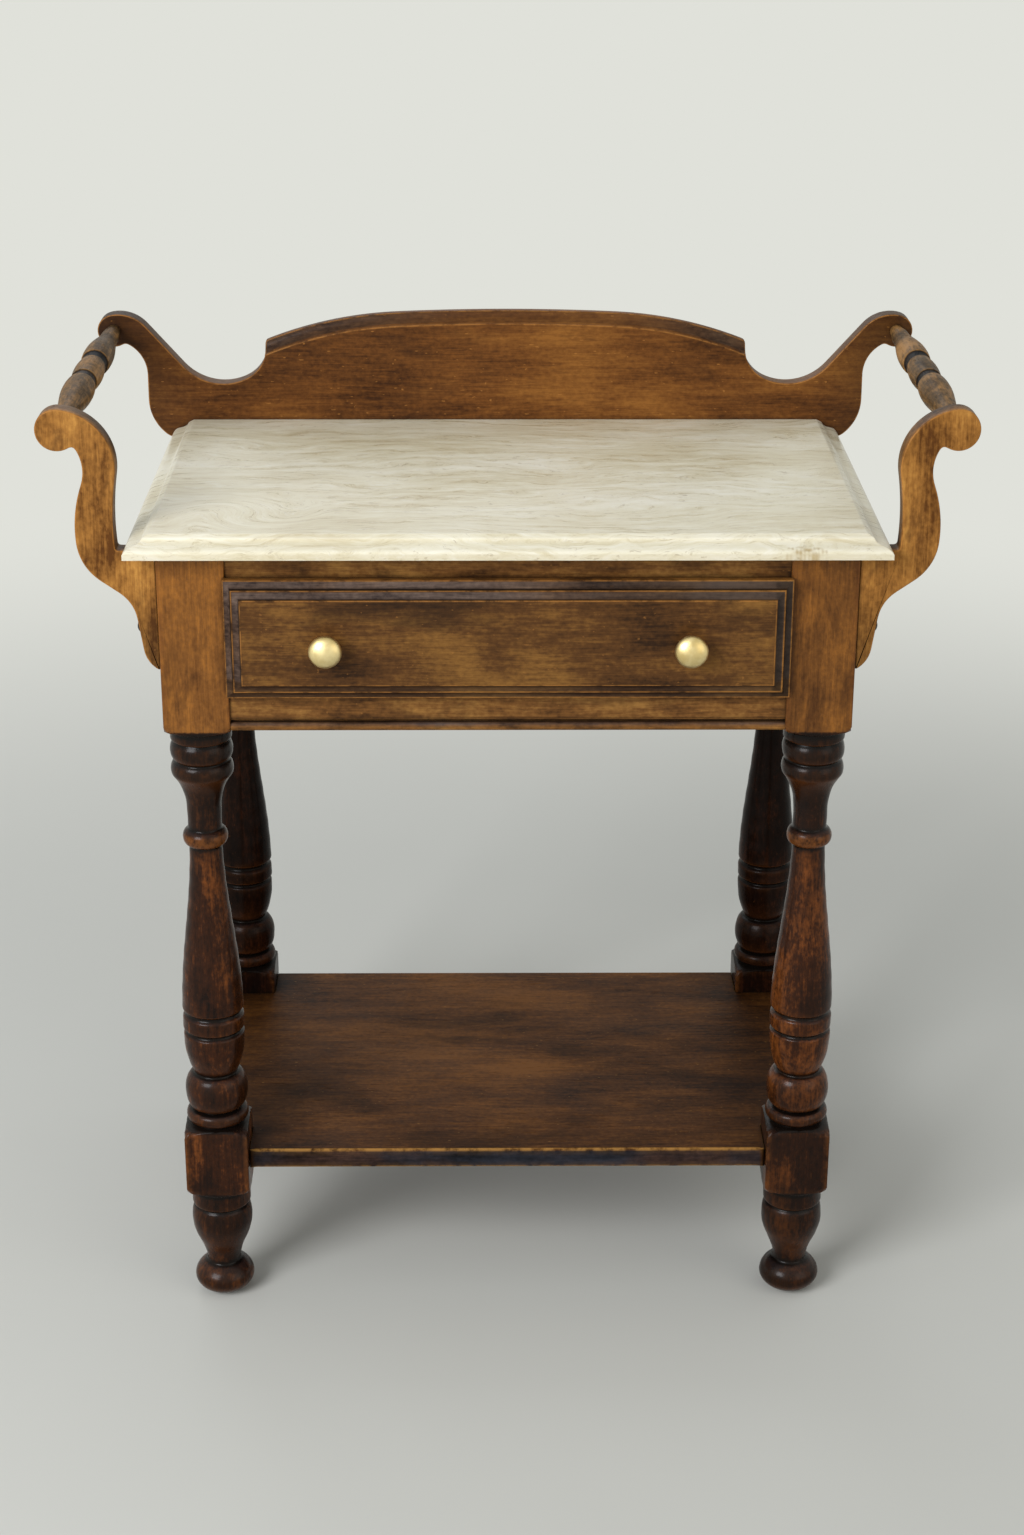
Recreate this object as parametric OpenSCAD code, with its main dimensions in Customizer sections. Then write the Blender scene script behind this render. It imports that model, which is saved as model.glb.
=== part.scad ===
// Washstand: a turned base with a shelf, a case with one lipped drawer, a loose stone top,
// a shaped splashback and two towel bars. Millimetres, +Z up, the front faces -Y.
// The origin is on the floor under the middle of the whole piece.

/* [Case] */
// Width over the legs
case_w = 616; // [580:1:680]
// Depth over the legs
case_d = 404; // [380:1:440]
// Height from the floor to the underside of the stone
case_h = 767.5; // [750:0.5:800]
// Side of the square blank that a leg is turned from
leg_side = 60; // [60:0.5:64]
// Length of the square block at the top of a leg
top_block_h = 168.5; // [160:0.5:175]
// Thickness of the aprons and of the rails' faces
board_t = 20; // [18:0.5:22]
// How far the rails and aprons lie behind the faces of the legs
board_set_back = 3; // [1:0.5:5]
// Depth of the two front rails, front to back
rail_depth = 40; // [34:1:46]
// Height of the rail above the drawer
top_rail_h = 26; // [22:0.5:30]
// Height of the rail below the drawer, with its bead
bottom_rail_h = 38.5; // [34:0.5:44]
// Height of the half-round bead along the bottom edges
bead_h = 9; // [7:0.5:11]
// Width of the sunk line above the bead
quirk_h = 2; // [1:0.5:3]
// Length of a tenon
tenon_l = 22; // [16:1:24]
// Thickness of a tenon
tenon_t = 8; // [6:0.5:9]
// Shoulder above and below a tenon
tenon_shoulder = 3; // [2:0.5:5]

/* [Leg turning] */
// Diameter of the ball foot
foot_ball_d = 57.6; // [52:0.2:58.4]
// Height of the widest place of the ball foot
foot_ball_mid = 17.3; // [16:0.1:18.5]
// Height of the ball foot from there to its upper pole
foot_ball_rise = 20.5; // [19:0.5:22]
// Diameter of the ankle
ankle_d = 32.4; // [28:0.2:38]
// Largest diameter of the vase over the foot
foot_vase_d = 58; // [52:0.2:58.6]
// Height of the widest place of the foot vase
foot_vase_z = 83.5; // [80:0.5:87]
// Height of the disc under the shelf block, at its lower edge
foot_disc_z = 100.5; // [99:0.5:103]
// Diameter of the disc under the shelf block
foot_disc_d = 56.2; // [53:0.2:57.6]
// Height of the lower corners of the shelf block
shelf_block_z = 123.5; // [121:0.5:126]
// Height of the shelf block at its corners
shelf_block_h = 62.5; // [58:0.5:66]
// Drop of a block's shoulder between its corner and the middle of its face
shoulder_drop = 4.5; // [3:0.5:6]
// Diameter of the ring over the shelf block
low_ring_d = 59.4; // [55:0.2:59.6]
// Height of that ring
low_ring_h = 13; // [11:0.5:14]
// Diameter of the ball over it
ball_d = 59.4; // [54:0.2:59.6]
// Height of that ball
ball_h = 38.5; // [34:0.5:42]
// Height of the cup over the ball
cup_h = 42.5; // [38:0.5:46]
// Diameter of the cup, the band and the foot of the long vase
vase_d = 57.8; // [52:0.2:58.6]
// Width of the turned grooves
groove_w = 5; // [4:0.5:6]
// Depth of the turned grooves
groove_t = 2.9; // [2:0.1:3.5]
// Height of the band between the two grooves
band_h = 14.5; // [12:0.5:17]
// Smallest diameter of the long vase
vase_neck_d = 30.2; // [27:0.2:34]
// Height of the small collar
collar_h = 17; // [13:0.5:19]
// Diameter of the small collar
collar_d = 41.5; // [37:0.5:45]
// Height of the plain neck above the collar
neck_h = 12; // [9:0.5:15]
// Height of the trumpet that the neck opens into
trumpet_h = 42; // [38:0.5:46]
// Diameter of the trumpet and of the ring above it
crown_d = 57; // [53:0.5:58.5]
// Half height of the rounded lip of the trumpet
crown_lip_h = 8.5; // [7:0.5:10]
// Height of the ring above the trumpet
crown_ring_h = 19.5; // [17:0.5:21]
// Height of the disc under the top block
crown_disc_h = 10.5; // [9:0.5:12]

/* [Shelf] */
// Height of the upper face of the shelf
shelf_z = 163.5; // [159:0.5:168]
// Thickness of the shelf
shelf_t = 20; // [17:0.5:22]
// How far the shelf's edges lie inside the outer faces of the legs
shelf_set_back = 12; // [8:0.5:16]
// Radius on the shelf's front edges
shelf_nose_r = 4; // [2:0.5:6]

/* [Stone top] */
// Thickness of the stone
stone_t = 18; // [16:0.5:22]
// How far the stone stands out past the legs at the front
stone_front = 25; // [20:0.5:30]
// How far the stone stands out past the legs at each side
stone_side = 25; // [20:0.5:30]
// Height of the upright lip at the stone's lower edge
stone_lip_h = 4.5; // [3:0.5:6]
// Width of the whole moulding on the stone
stone_mould_w = 21; // [18:0.5:24]
// Width of the flat at the inner side of the moulding
stone_flat_w = 5; // [3:0.5:7]
// Height of the small step up to the top face
stone_step_h = 2.5; // [1.5:0.5:3.5]

/* [Arms] */
// Thickness of an arm
arm_t = 20; // [18:0.5:22]
// How far the arm lies behind the front face of the leg
arm_set_back = 3; // [1:0.5:8]
// Gap between the stone's edge and the upright of an arm
ledge_gap = 9; // [5:0.5:14]
// Radius of the round head of an arm
arm_head_r = 18.5; // [17:0.5:20]
// Radius in the small corner under a head
notch_r = 3; // [2:0.5:4]
// Radius of the inner side of an arm, over its ledge
arm_inner_r = 260; // [250:1:270]
// Radius of the inner shoulder of an arm
arm_shoulder_r = 52; // [49:0.5:55]
// Radius of the hollow under the head, on the outer side
arm_throat_r = 38.5; // [36.5:0.5:40.5]
// Radius of the outer side of an arm
arm_outer_r = 122; // [117:1:127]
// Radius of the elbow of an arm
arm_elbow_r = 46.5; // [44.5:0.5:48.5]
// Length of the straight below the elbow
arm_elbow_l = 19; // [17:0.5:21]
// Radius of the hollow below that straight
arm_tail_r = 35; // [33:0.5:37]
// Length of the straight that runs in to the leg
arm_tail_l = 30; // [28:0.5:32]
// Radius of the toe of an arm, at the leg
arm_toe_r = 26; // [24:0.5:28]

/* [Splashback] */
// Thickness of the splashback
splash_t = 20; // [18:0.5:22]
// Radius of the foot of each end
splash_foot_r = 12.5; // [11:0.5:14]
// Radius of the hollow over the foot
splash_side_r = 45; // [43:0.5:47]
// Radius of the shoulder under the head
splash_shoulder_r = 34; // [32:0.5:36]
// Radius of the splashback's round heads
splash_head_r = 16; // [15:0.5:18]
// Radius of the hollow on the inner side of the head
dip_throat_r = 36; // [34:0.5:38]
// Length of the straight slope down to the dip
dip_slope_l = 53; // [50:0.5:56]
// Radius of the bottom of the dip
dip_r = 53; // [51:0.5:55]
// Radius of the rise from the dip to the arch
dip_rise_r = 36.5; // [35:0.5:38]
// Height of the upright ends of the arch
crest_end_h = 13.5; // [9:0.5:18]
// Width and depth of the hollow along the front of the arch
crest_cove = 11; // [7:0.5:13]
// Radius of the flat middle of the arch
crest_mid_r = 2400; // [1800:10:3000]
// Radius of the two shoulders of the arch
crest_end_r = 400; // [360:1:440]
// Angle of the flat middle, each side of the centre line
crest_mid_angle = 2.6; // [2:0.1:3]

/* [Towel bars] */
// Largest diameter of the two swells of a bar
bar_swell_d = 28; // [24:0.5:30]
// Diameter of the barrel in the middle
bar_barrel_d = 27.2; // [23:0.2:29]
// Length of the barrel
bar_barrel_l = 46; // [38:1:54]
// Length of the dark hollow at each end of the barrel
bar_hollow_l = 27; // [20:1:30]
// Diameter at the bottom of those hollows
bar_hollow_d = 23; // [20:0.5:24]
// Length from such a hollow to the widest place of a swell
bar_swell_l = 20; // [17:0.5:23]
// Diameter of the bar where it enters an arm
bar_neck_d = 13; // [12:0.5:16]
// Length of the thin neck there
bar_neck_l = 32; // [28:1:36]
// Diameter of the pin at each end
bar_pin_d = 11; // [9:0.5:11.5]
// Length of the pin at each end
bar_pin_l = 12; // [9:0.5:14]

/* [Drawer] */
// Height of the field and mouldings of the drawer front over its opening, each way
lip = 2.5; // [1.5:0.5:4]
// How far the lip overlaps a leg at each side
lip_side = 1.5; // [1:0.5:3]
// Thickness of the lip
lip_t = 8; // [6:0.5:9]
// Width of each of the two hollows round the field
cove_w = 7; // [6:0.5:8]
// Width of the fine ridge between the hollows
cove_ridge = 1; // [0.5:0.5:1.5]
// Depth of the outer hollow
cove_outer_t = 6.5; // [5:0.5:7]
// Depth of the inner hollow
cove_inner_t = 4.5; // [3:0.5:5.5]
// Depth of the part of the drawer front that enters the opening
plug_t = 6; // [5:0.5:10]
// Space at each side of the drawer
drawer_gap = 1.5; // [1:0.5:2.5]
// Running clearance under the drawer and behind its lip
slide_gap = 0.3; // [0.2:0.1:0.5]
// Space over the drawer's sides
drawer_head_gap = 2.5; // [1.5:0.5:4]
// Thickness of the drawer's sides and back
drawer_side_t = 12; // [10:0.5:14]
// Thickness of the drawer's bottom
drawer_bottom_t = 6; // [4:0.5:8]
// Height of the groove for the bottom above the lower edge of a side
drawer_groove_z = 10; // [8:0.5:14]
// Depth of the groove for the bottom
drawer_groove_t = 6; // [4:0.5:7]
// Length of the drawer's sides behind the plug
drawer_l = 330; // [280:1:340]
// How far the drawer opens
drawer_travel = 250; // [150:1:270]
// Number of dovetails at each corner
tail_count = 4; // [3:1:5]
// Length of the dovetails in the drawer front
front_tail_l = 12; // [10:0.5:14]
// Spread of a dovetail at each side over its length
tail_spread = 1.8; // [1:0.1:2.4]
// Narrow part of a dovetail as a share of its pitch
tail_share = 0.55; // [0.45:0.05:0.65]

/* [Knobs] */
// Distance of a knob's middle from the end of the drawer front
knob_inset = 90; // [70:1:120]
// How far the knobs lie under the middle of the drawer front
knob_drop = 2; // [0:0.5:4]
// Diameter of a knob
knob_d = 31.5; // [26:0.5:36]
// How far a knob stands out
knob_l = 25; // [22:0.5:30]
// Thickness of the domed head of a knob
knob_head_t = 11; // [9:0.5:13]
// Diameter of the neck of a knob
knob_neck_d = 13; // [10:0.5:16]
// Diameter of the foot of a knob
knob_foot_d = 19; // [16:0.5:22]
// Diameter of the knob's screw
knob_screw_d = 4; // [3:0.5:5]

/* [Runners and fixings] */
// Width of a drawer runner and of a kicker
runner_w = 55; // [50:1:60]
// Height of a drawer runner, a guide and a kicker
runner_h = 20; // [16:0.5:22]
// Diameter of the dowels
dowel_d = 8; // [6:1:10]
// Length of a dowel
dowel_l = 36; // [30:1:40]
// Clearance of glued joints
glue_gap = 0.1; // [0.05:0.05:0.2]
// Diameter of the screw that holds an arm
arm_screw_d = 6; // [5:0.5:7]
// Length of that screw under its head
arm_screw_l = 48; // [40:1:52]
// Diameter of the domed head of that screw
arm_screw_head_d = 14; // [12:0.5:16]
// Height of the domed head
arm_screw_head_t = 5; // [4:0.5:6]
// Height of that screw under the top of the case
arm_screw_drop = 72; // [66:1:78]
// Wood left between that screw's head and the leg
arm_screw_seat = 14.5; // [12:0.5:15]
// Diameter of the small wood screws
small_screw_d = 4; // [3:0.5:5]
// Diameter of their heads
small_screw_head_d = 8; // [6:0.5:9]
// Length of the small wood screws
small_screw_l = 32; // [26:1:36]
// Distance of the small wood screws from the legs
screw_inset = 50; // [30:5:80]

/* [Hidden] */

$fn = 64;
over = 1;                                   // how far a cutter runs past a face
front_y = 0;                                // plane of the legs' front faces, before centring
half_w = case_w / 2;
leg_in = half_w - leg_side;                 // inner faces of the legs
leg_mid = half_w - leg_side / 2;
back_leg_y = case_d - leg_side;
top_block_z = case_h - top_block_h;
rail_y = front_y + board_set_back;
back_apron_y = case_d - board_set_back - board_t;
side_apron_x = half_w - board_set_back - board_t;
opening_z = top_block_z + bottom_rail_h;    // bottom of the drawer opening
opening_top = case_h - top_rail_h;
opening_h = opening_top - opening_z;
field_y = front_y - lip_t - cove_outer_t - cove_inner_t;
plan_front = field_y - slide_gap - knob_l;
mid_y = (plan_front + case_d) / 2;          // moved to the origin
lip_z = opening_z - lip;
lip_h = opening_h + 2 * lip;
lip_w = 2 * (leg_in + lip_side);
front_t = plug_t - field_y + slide_gap;     // whole thickness of the drawer front
knob_z = lip_z + lip_h / 2 - knob_drop;
drawer_w = 2 * (leg_in - drawer_gap);
drawer_z = opening_z + slide_gap;
drawer_side_h = opening_h - slide_gap - drawer_head_gap;
drawer_end = plug_t + drawer_l;
drawer_back_y = drawer_end - drawer_side_t;
drawer_back_z = drawer_z + drawer_groove_z + drawer_bottom_t;
stone_w = case_w + 2 * stone_side;
stone_d = case_d - splash_t + stone_front;
arm_y = front_y + arm_set_back;
arm_mid_y = arm_y + arm_t / 2;
splash_y = case_d - splash_t;
shelf_edge_x = half_w - shelf_set_back;
dowel_half = dowel_l / 2;

// Colours of the finishes
honey = "#8a5a2b";
walnut = "#5a2f1a";
dark_walnut = "#3d2117";
splash_brown = "#6b3d20";
olive_brown = "#5c4024";
pale_wood = "#b79567";
cream_stone = "#e3dccb";
brass = "#cdb777";
dark_steel = "#2c2623";

chord_error = 0.012;                        // how far a chord may lie from its arc

// --- Outlines made of bends and straights -------------------------------------------------
// A bend is [radius, turn in degrees], left turns positive. A straight is [0, length].
function ahead(h) = [cos(h), sin(h)];
function bend_centre(p, h, s) = p + sign(s[1]) * s[0] * ahead(h + 90);
function along(p, h, s, t) = s[0] == 0 ? p + t * s[1] * ahead(h)
    : bend_centre(p, h, s) - sign(s[1]) * s[0] * ahead(h + t * s[1] + 90);
function turned(h, s) = s[0] == 0 ? h : h + s[1];
function cuts(s) = s[0] == 0 ? 1 : ceil(abs(s[1]) / (2 * acos(1 - chord_error / s[0])));
function outline(p, h, path, i = 0) = i == len(path) ? [p]
    : concat([for (k = [0 : cuts(path[i]) - 1]) along(p, h, path[i], k / cuts(path[i]))],
        outline(along(p, h, path[i], 1), turned(h, path[i]), path, i + 1));
function heading_at(h, path, n, i = 0) = i == n ? h : heading_at(turned(h, path[i]), path, n, i + 1);
function place_at(p, h, path, n, i = 0) = i == n ? p
    : place_at(along(p, h, path[i], 1), turned(h, path[i]), path, n, i + 1);

// The front arm: x outward from the leg, y up from the top of the case
ledge_l = stone_side + ledge_gap;
arm_heading = 85;
arm_path = [[arm_inner_r, 14.5], [arm_shoulder_r, -94], [arm_head_r, -221.5], [notch_r, 95],
    [arm_throat_r, 51], [arm_outer_r, -25], [arm_elbow_r, -50], [0, arm_elbow_l], [arm_tail_r, 46.5],
    [0, arm_tail_l], [arm_toe_r, -70]];
arm_head = bend_centre(place_at([ledge_l, 0], arm_heading, arm_path, 2),
    heading_at(arm_heading, arm_path, 2), arm_path[2]);
bar_x = half_w + arm_head[0];
bar_z = case_h + arm_head[1];

// The end of the splashback, from its foot round the head to the arch. Its foot and its upright
// are as long as they must be for its head to lie level with the arm's.
splash_lead = [[splash_foot_r, 38], [splash_side_r, 52.5]];
splash_neck = [[splash_shoulder_r, -64.5], [notch_r, -61.5]];
splash_tail = [[splash_head_r, 202], [dip_throat_r, 62], [0, dip_slope_l], [dip_r, -74.5], [dip_rise_r, -47]];
splash_bends = concat(splash_lead, splash_neck);
upright_heading = heading_at(0, splash_bends, len(splash_lead));
splash_head_offset = bend_centre(place_at([0, 0], 0, splash_bends, len(splash_bends)),
    heading_at(0, splash_bends, len(splash_bends)), splash_tail[0]);
splash_upright = arm_head[1] - splash_head_offset[1];
splash_foot_x = bar_x - splash_head_offset[0] - splash_upright * cos(upright_heading);
splash_path = concat(splash_lead, [[0, splash_upright / sin(upright_heading)]], splash_neck, splash_tail);
splash_end = outline([splash_foot_x, 0], 0, splash_path);
crest_corner = splash_end[len(splash_end) - 1] + [0, crest_end_h];
// The arch rises from its ends with its own radii
crest_end_angle = asin((crest_corner[0] - crest_mid_r * sin(crest_mid_angle)) / crest_end_r
    + sin(crest_mid_angle)) - crest_mid_angle;
crest_h = crest_corner[1] + crest_mid_r * (1 - cos(crest_mid_angle))
    + crest_end_r * (cos(crest_mid_angle) - cos(crest_mid_angle + crest_end_angle));
crest_path = [[crest_mid_r, -crest_mid_angle], [crest_end_r, -crest_end_angle]];

// --- Turned profiles, as [radius, height] from the bottom up ------------------------------
// A bulge between two heights
function bulge(z0, z1, r_in, r_out, a0 = 0, a1 = 180) =
    [for (k = [0 : 12]) let (a = a0 + (a1 - a0) * k / 12)
        [r_in + (r_out - r_in) * sin(a), (z0 + z1) / 2 - (z1 - z0) / 2 * cos(a)]];
// A smooth S between two heights, with a share of it straight
function s_curve(z0, z1, r0, r1, straight = 0, n = 10) =
    [for (k = [0 : n]) let (t = k / n)
        [r0 + (r1 - r0) * (straight * t + (1 - straight) * (1 - cos(180 * t)) / 2), z0 + (z1 - z0) * t]];
// Part of an upright oval about a centre on the axis, with its own height below and above its middle
function oval(z_mid, drop, rise, r, a0, a1) =
    [for (k = [0 : 16]) let (a = a0 + (a1 - a0) * k / 16)
        [r * cos(a), z_mid + (a < 0 ? drop : rise) * sin(a)]];
// A neck that opens upward, up to just under its rim
function flare(z0, z1, r0, r1, power) =
    [for (k = [0 : 11]) let (t = k / 12) [r0 + (r1 - r0) * pow(t, power), z0 + (z1 - z0) * t]];

block_r = leg_side * 0.75;                  // clear of the corners of the blank
corner_r = leg_side / sqrt(2);
shoulder_slope = shoulder_drop / (corner_r - leg_side / 2);
function shoulder(r) = shoulder_slope * (corner_r - r);
groove_wall = 0.8;                          // height of a groove's leaning side
arris = 0.5;                                // what the turner's sandpaper takes off an edge
ring_t = 4.5;                               // how far the rounded rings stand out
foot_drop = 1.03 * foot_ball_mid;           // the floor cuts the foot just above its lower pole
foot_groove_h = 3;                          // height of the groove over the foot vase
foot_lip_t = 3;                             // how far the foot vase falls in up to that groove
foot_lip_h = foot_disc_z - foot_groove_h - foot_vase_z;
foot_vase_in = 2;                           // the foot vase's widest place is this high
cup_lip_h = 4.5;
cup_rise = 1.25 * cup_h;                    // half height of the oval that the cup is part of
low_ring_foot_r = low_ring_d / 2 - ring_t / 2;
low_ring_z = shelf_block_z + shelf_block_h + shoulder(low_ring_foot_r);
ball_z = low_ring_z + low_ring_h;
cup_z = ball_z + ball_h;
cup_top = cup_z + cup_h;
band_z = cup_top + groove_w;
vase_z = band_z + band_h + groove_w;
crown_disc_z = top_block_z - shoulder(crown_d / 2) - crown_disc_h;
crown_ring_z = crown_disc_z - crown_ring_h - groove_wall;
crown_lip_mid = crown_ring_z - groove_wall / 2 - crown_lip_h;
trumpet_meets = 50;                         // how far round its lip's curve the trumpet begins
crown_lip = bulge(crown_lip_mid - crown_lip_h, crown_lip_mid + crown_lip_h, crown_d / 2 - ring_t,
    crown_d / 2, trumpet_meets, 180);
trumpet_rim = crown_lip[0];                 // where the trumpet meets its lip
trumpet_power = 2.8;                        // above 1 the trumpet opens late
trumpet_z = trumpet_rim[1] - trumpet_h;
neck_z = trumpet_z - neck_h;
vase_top = neck_z - collar_h;
groove_r = vase_d / 2 - groove_t;
foot_groove_r = foot_disc_d / 2 - groove_t;
crown_r = crown_d / 2 - arris;
ball_in_r = ball_d / 2 - 8;                 // radius at the poles of the ball
ankle_angle = acos(ankle_d / foot_ball_d);
over_widest = 95;                           // a lip's curve starts just past its widest place
leg_profile = concat(
    [[0, 0]],
    oval(foot_ball_mid, foot_drop, foot_ball_rise, foot_ball_d / 2, -asin(foot_ball_mid / foot_drop),
        ankle_angle),
    s_curve(foot_ball_mid + foot_ball_rise * sin(ankle_angle) + groove_wall, foot_vase_z - foot_vase_in,
        ankle_d / 2, foot_vase_d / 2, 0, 14),
    bulge(foot_vase_z - foot_lip_h, foot_vase_z + foot_lip_h, foot_vase_d / 2 - foot_lip_t, foot_vase_d / 2,
        over_widest, 180),
    [[foot_groove_r, foot_vase_z + foot_lip_h + arris], [foot_groove_r, foot_disc_z - groove_wall],
        [foot_disc_d / 2, foot_disc_z], [foot_disc_d / 2, shelf_block_z - shoulder(foot_disc_d / 2)],
        [block_r, shelf_block_z - shoulder(block_r)],
        [block_r, shelf_block_z + shelf_block_h + shoulder(block_r)],
        [low_ring_foot_r, low_ring_z - groove_wall]],
    bulge(low_ring_z, ball_z, low_ring_d / 2 - ring_t, low_ring_d / 2),
    bulge(ball_z + groove_wall, cup_z - groove_wall, ball_in_r, ball_d / 2),
    oval(cup_top - cup_lip_h, cup_rise, 0, vase_d / 2 - arris / 2, -asin((cup_h - cup_lip_h) / cup_rise), 0),
    [[vase_d / 2 - arris / 2, cup_top], [groove_r, cup_top + groove_wall], [groove_r, band_z - groove_wall],
        [vase_d / 2, band_z], [vase_d / 2, band_z + band_h - 4 * arris],
        [vase_d / 2 - 2 * arris, band_z + band_h - arris],
        [groove_r, band_z + band_h + groove_wall], [groove_r, vase_z - groove_wall],
        [vase_d / 2 - arris, vase_z]],
    s_curve(vase_z + 3 * arris, vase_top, vase_d / 2, vase_neck_d / 2, 0.2, 24),
    bulge(vase_top + arris, neck_z - arris, vase_neck_d / 2 + arris, collar_d / 2),
    flare(trumpet_z, trumpet_rim[1], vase_neck_d / 2 + arris, trumpet_rim[0], trumpet_power),
    crown_lip,
    bulge(crown_ring_z, crown_disc_z - groove_wall, crown_d / 2 - ring_t, crown_d / 2),
    [[crown_d / 2 - ring_t / 2, crown_disc_z - groove_wall / 2], [crown_r, crown_disc_z],
        [crown_r, top_block_z - shoulder(crown_r)],
        [block_r, top_block_z - shoulder(block_r)], [block_r, case_h + over], [0, case_h + over]]);

// Everything is modelled from the legs' front faces and centred here
module centred() {
    translate([0, -mid_y, 0]) children();
}

module both_sides() {
    children();
    mirror([1, 0, 0]) children();
}

// --- Legs ---------------------------------------------------------------------------------
module leg_blank() {
    intersection() {
        translate([-leg_side / 2, -leg_side / 2, 0]) cube([leg_side, leg_side, case_h]);
        rotate_extrude($fn = 96) polygon(leg_profile);
    }
}

// Tenon of a rail or apron that runs along X, at its right-hand end
module cross_tenon(y_mid, z0, z1, grow = 0) {
    translate([leg_in - over, y_mid - tenon_t / 2 - grow, z0 + tenon_shoulder - grow])
        cube([tenon_l + over + grow, tenon_t + 2 * grow, z1 - z0 - 2 * tenon_shoulder + 2 * grow]);
}

// The two tenons of the right side apron
module apron_tenons(grow = 0) {
    translate([side_apron_x + board_t / 2 - tenon_t / 2 - grow, leg_side - tenon_l - grow,
            top_block_z + tenon_shoulder - grow])
        cube([tenon_t + 2 * grow, back_leg_y - leg_side + 2 * (tenon_l + grow),
            top_block_h - 2 * tenon_shoulder + 2 * grow]);
}

module top_rail_tenon(grow = 0) {
    cross_tenon(rail_y + board_t / 2, opening_top, case_h, grow);
}

module bottom_rail_tenon(grow = 0) {
    cross_tenon(rail_y + board_t / 2, top_block_z + bead_h, opening_z, grow);
}

module back_apron_tenon(grow = 0) {
    cross_tenon(back_apron_y + board_t / 2, top_block_z, case_h, grow);
}

module leg_front() {
    color(walnut) difference() {
        translate([leg_mid, leg_side / 2, 0]) leg_blank();
        top_rail_tenon(glue_gap);
        bottom_rail_tenon(glue_gap);
        apron_tenons(glue_gap);
        arm_screw_shank(glue_gap);
        arm_dowel(glue_gap);
        shelf_dowel(leg_side / 2, glue_gap);
    }
}

module leg_back() {
    color(walnut) difference() {
        translate([leg_mid, case_d - leg_side / 2, 0]) leg_blank();
        back_apron_tenon(glue_gap);
        apron_tenons(glue_gap);
        splash_dowel(leg_mid, glue_gap);
        shelf_dowel(case_d - leg_side / 2, glue_gap);
    }
}

module leg_front_right() { centred() leg_front(); }
module leg_front_left() { mirror([1, 0, 0]) leg_front_right(); }
module leg_back_right() { centred() leg_back(); }
module leg_back_left() { mirror([1, 0, 0]) leg_back_right(); }

// --- Case ---------------------------------------------------------------------------------
module side_apron_right() {
    centred() color(walnut) difference() {
        union() {
            translate([side_apron_x, leg_side, top_block_z])
                cube([board_t, back_leg_y - leg_side, top_block_h]);
            apron_tenons();
        }
        strip_screws(glue_gap);
    }
}

module side_apron_left() { mirror([1, 0, 0]) side_apron_right(); }

module back_apron() {
    centred() color(walnut) difference() {
        union() {
            translate([-leg_in, back_apron_y, top_block_z]) cube([2 * leg_in, board_t, top_block_h]);
            both_sides() back_apron_tenon();
        }
        both_sides() splash_dowel(leg_in / 3, glue_gap);
    }
}

module top_front_rail() {
    centred() color(honey) {
        translate([-leg_in, rail_y, opening_top]) cube([2 * leg_in, rail_depth, top_rail_h]);
        both_sides() top_rail_tenon();
    }
}

// The bead is worked on the rail: a half-round along the lower edge, under a sunk line
module bottom_front_rail() {
    bead_r = bead_h / 2;
    bead_y = rail_y + bead_r - board_set_back / 2;      // the bead stands a little proud of the rail
    centred() color(honey) {
        difference() {
            translate([-leg_in, rail_y, top_block_z + bead_h])
                cube([2 * leg_in, rail_depth, bottom_rail_h - bead_h]);
            translate([-leg_in - over, rail_y - over, top_block_z + bead_h - over])
                cube([2 * (leg_in + over), over + quirk_h, over + quirk_h]);
        }
        translate([-leg_in, bead_y, top_block_z]) cube([2 * leg_in, rail_y + rail_depth - bead_y, bead_h]);
        translate([-leg_in, bead_y, top_block_z + bead_r]) rotate([0, 90, 0])
            cylinder(r = bead_r, h = 2 * leg_in);
        both_sides() bottom_rail_tenon();
    }
}

// A runner, guide or kicker: a strip notched round the two legs
module case_strip(x0, z0) {
    difference() {
        translate([x0, rail_y + rail_depth, z0])
            cube([side_apron_x - x0, back_apron_y - rail_y - rail_depth, runner_h]);
        for (y = [front_y - over, back_leg_y - glue_gap])
            translate([leg_in - glue_gap, y, z0 - over])
                cube([leg_side, leg_side + over + glue_gap, runner_h + 2 * over]);
    }
}

module drawer_runner_right() {
    centred() color(pale_wood) difference() {
        case_strip(side_apron_x - runner_w, opening_z - runner_h);
        strip_screws(glue_gap);
    }
}

module drawer_guide_right() {
    centred() color(pale_wood) difference() {
        translate([leg_in, leg_side + glue_gap, opening_z])
            cube([side_apron_x - leg_in, back_leg_y - leg_side - 2 * glue_gap, runner_h]);
        strip_screws(glue_gap);
    }
}

module drawer_kicker_right() {
    centred() color(pale_wood) difference() {
        case_strip(side_apron_x - runner_w, opening_top);
        strip_screws(glue_gap);
    }
}

module drawer_runner_left() { mirror([1, 0, 0]) drawer_runner_right(); }
module drawer_guide_left() { mirror([1, 0, 0]) drawer_guide_right(); }
module drawer_kicker_left() { mirror([1, 0, 0]) drawer_kicker_right(); }

// Two screws through each strip into the side apron. The holes for them are counterbored.
module strip_screws(grow = 0) {
    under_head = small_screw_l - board_t / 2;
    head_l = small_screw_head_d / 2;
    for (y = [leg_side + screw_inset, back_leg_y - screw_inset])
        for (z = [opening_z - runner_h / 2, opening_z + runner_h / 2, opening_top + runner_h / 2])
            translate([side_apron_x - under_head, y, z]) rotate([0, 90, 0]) {
                cylinder(d = small_screw_d + 2 * grow, h = small_screw_l + grow);
                translate([0, 0, -head_l]) cylinder(d = small_screw_head_d + 2 * grow, h = head_l);
                if (grow > 0) translate([0, 0, -runner_w])
                    cylinder(d = small_screw_head_d + 2 * grow, h = runner_w);
            }
}

module runner_screws() {
    centred() color(dark_steel) both_sides() strip_screws();
}

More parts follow.
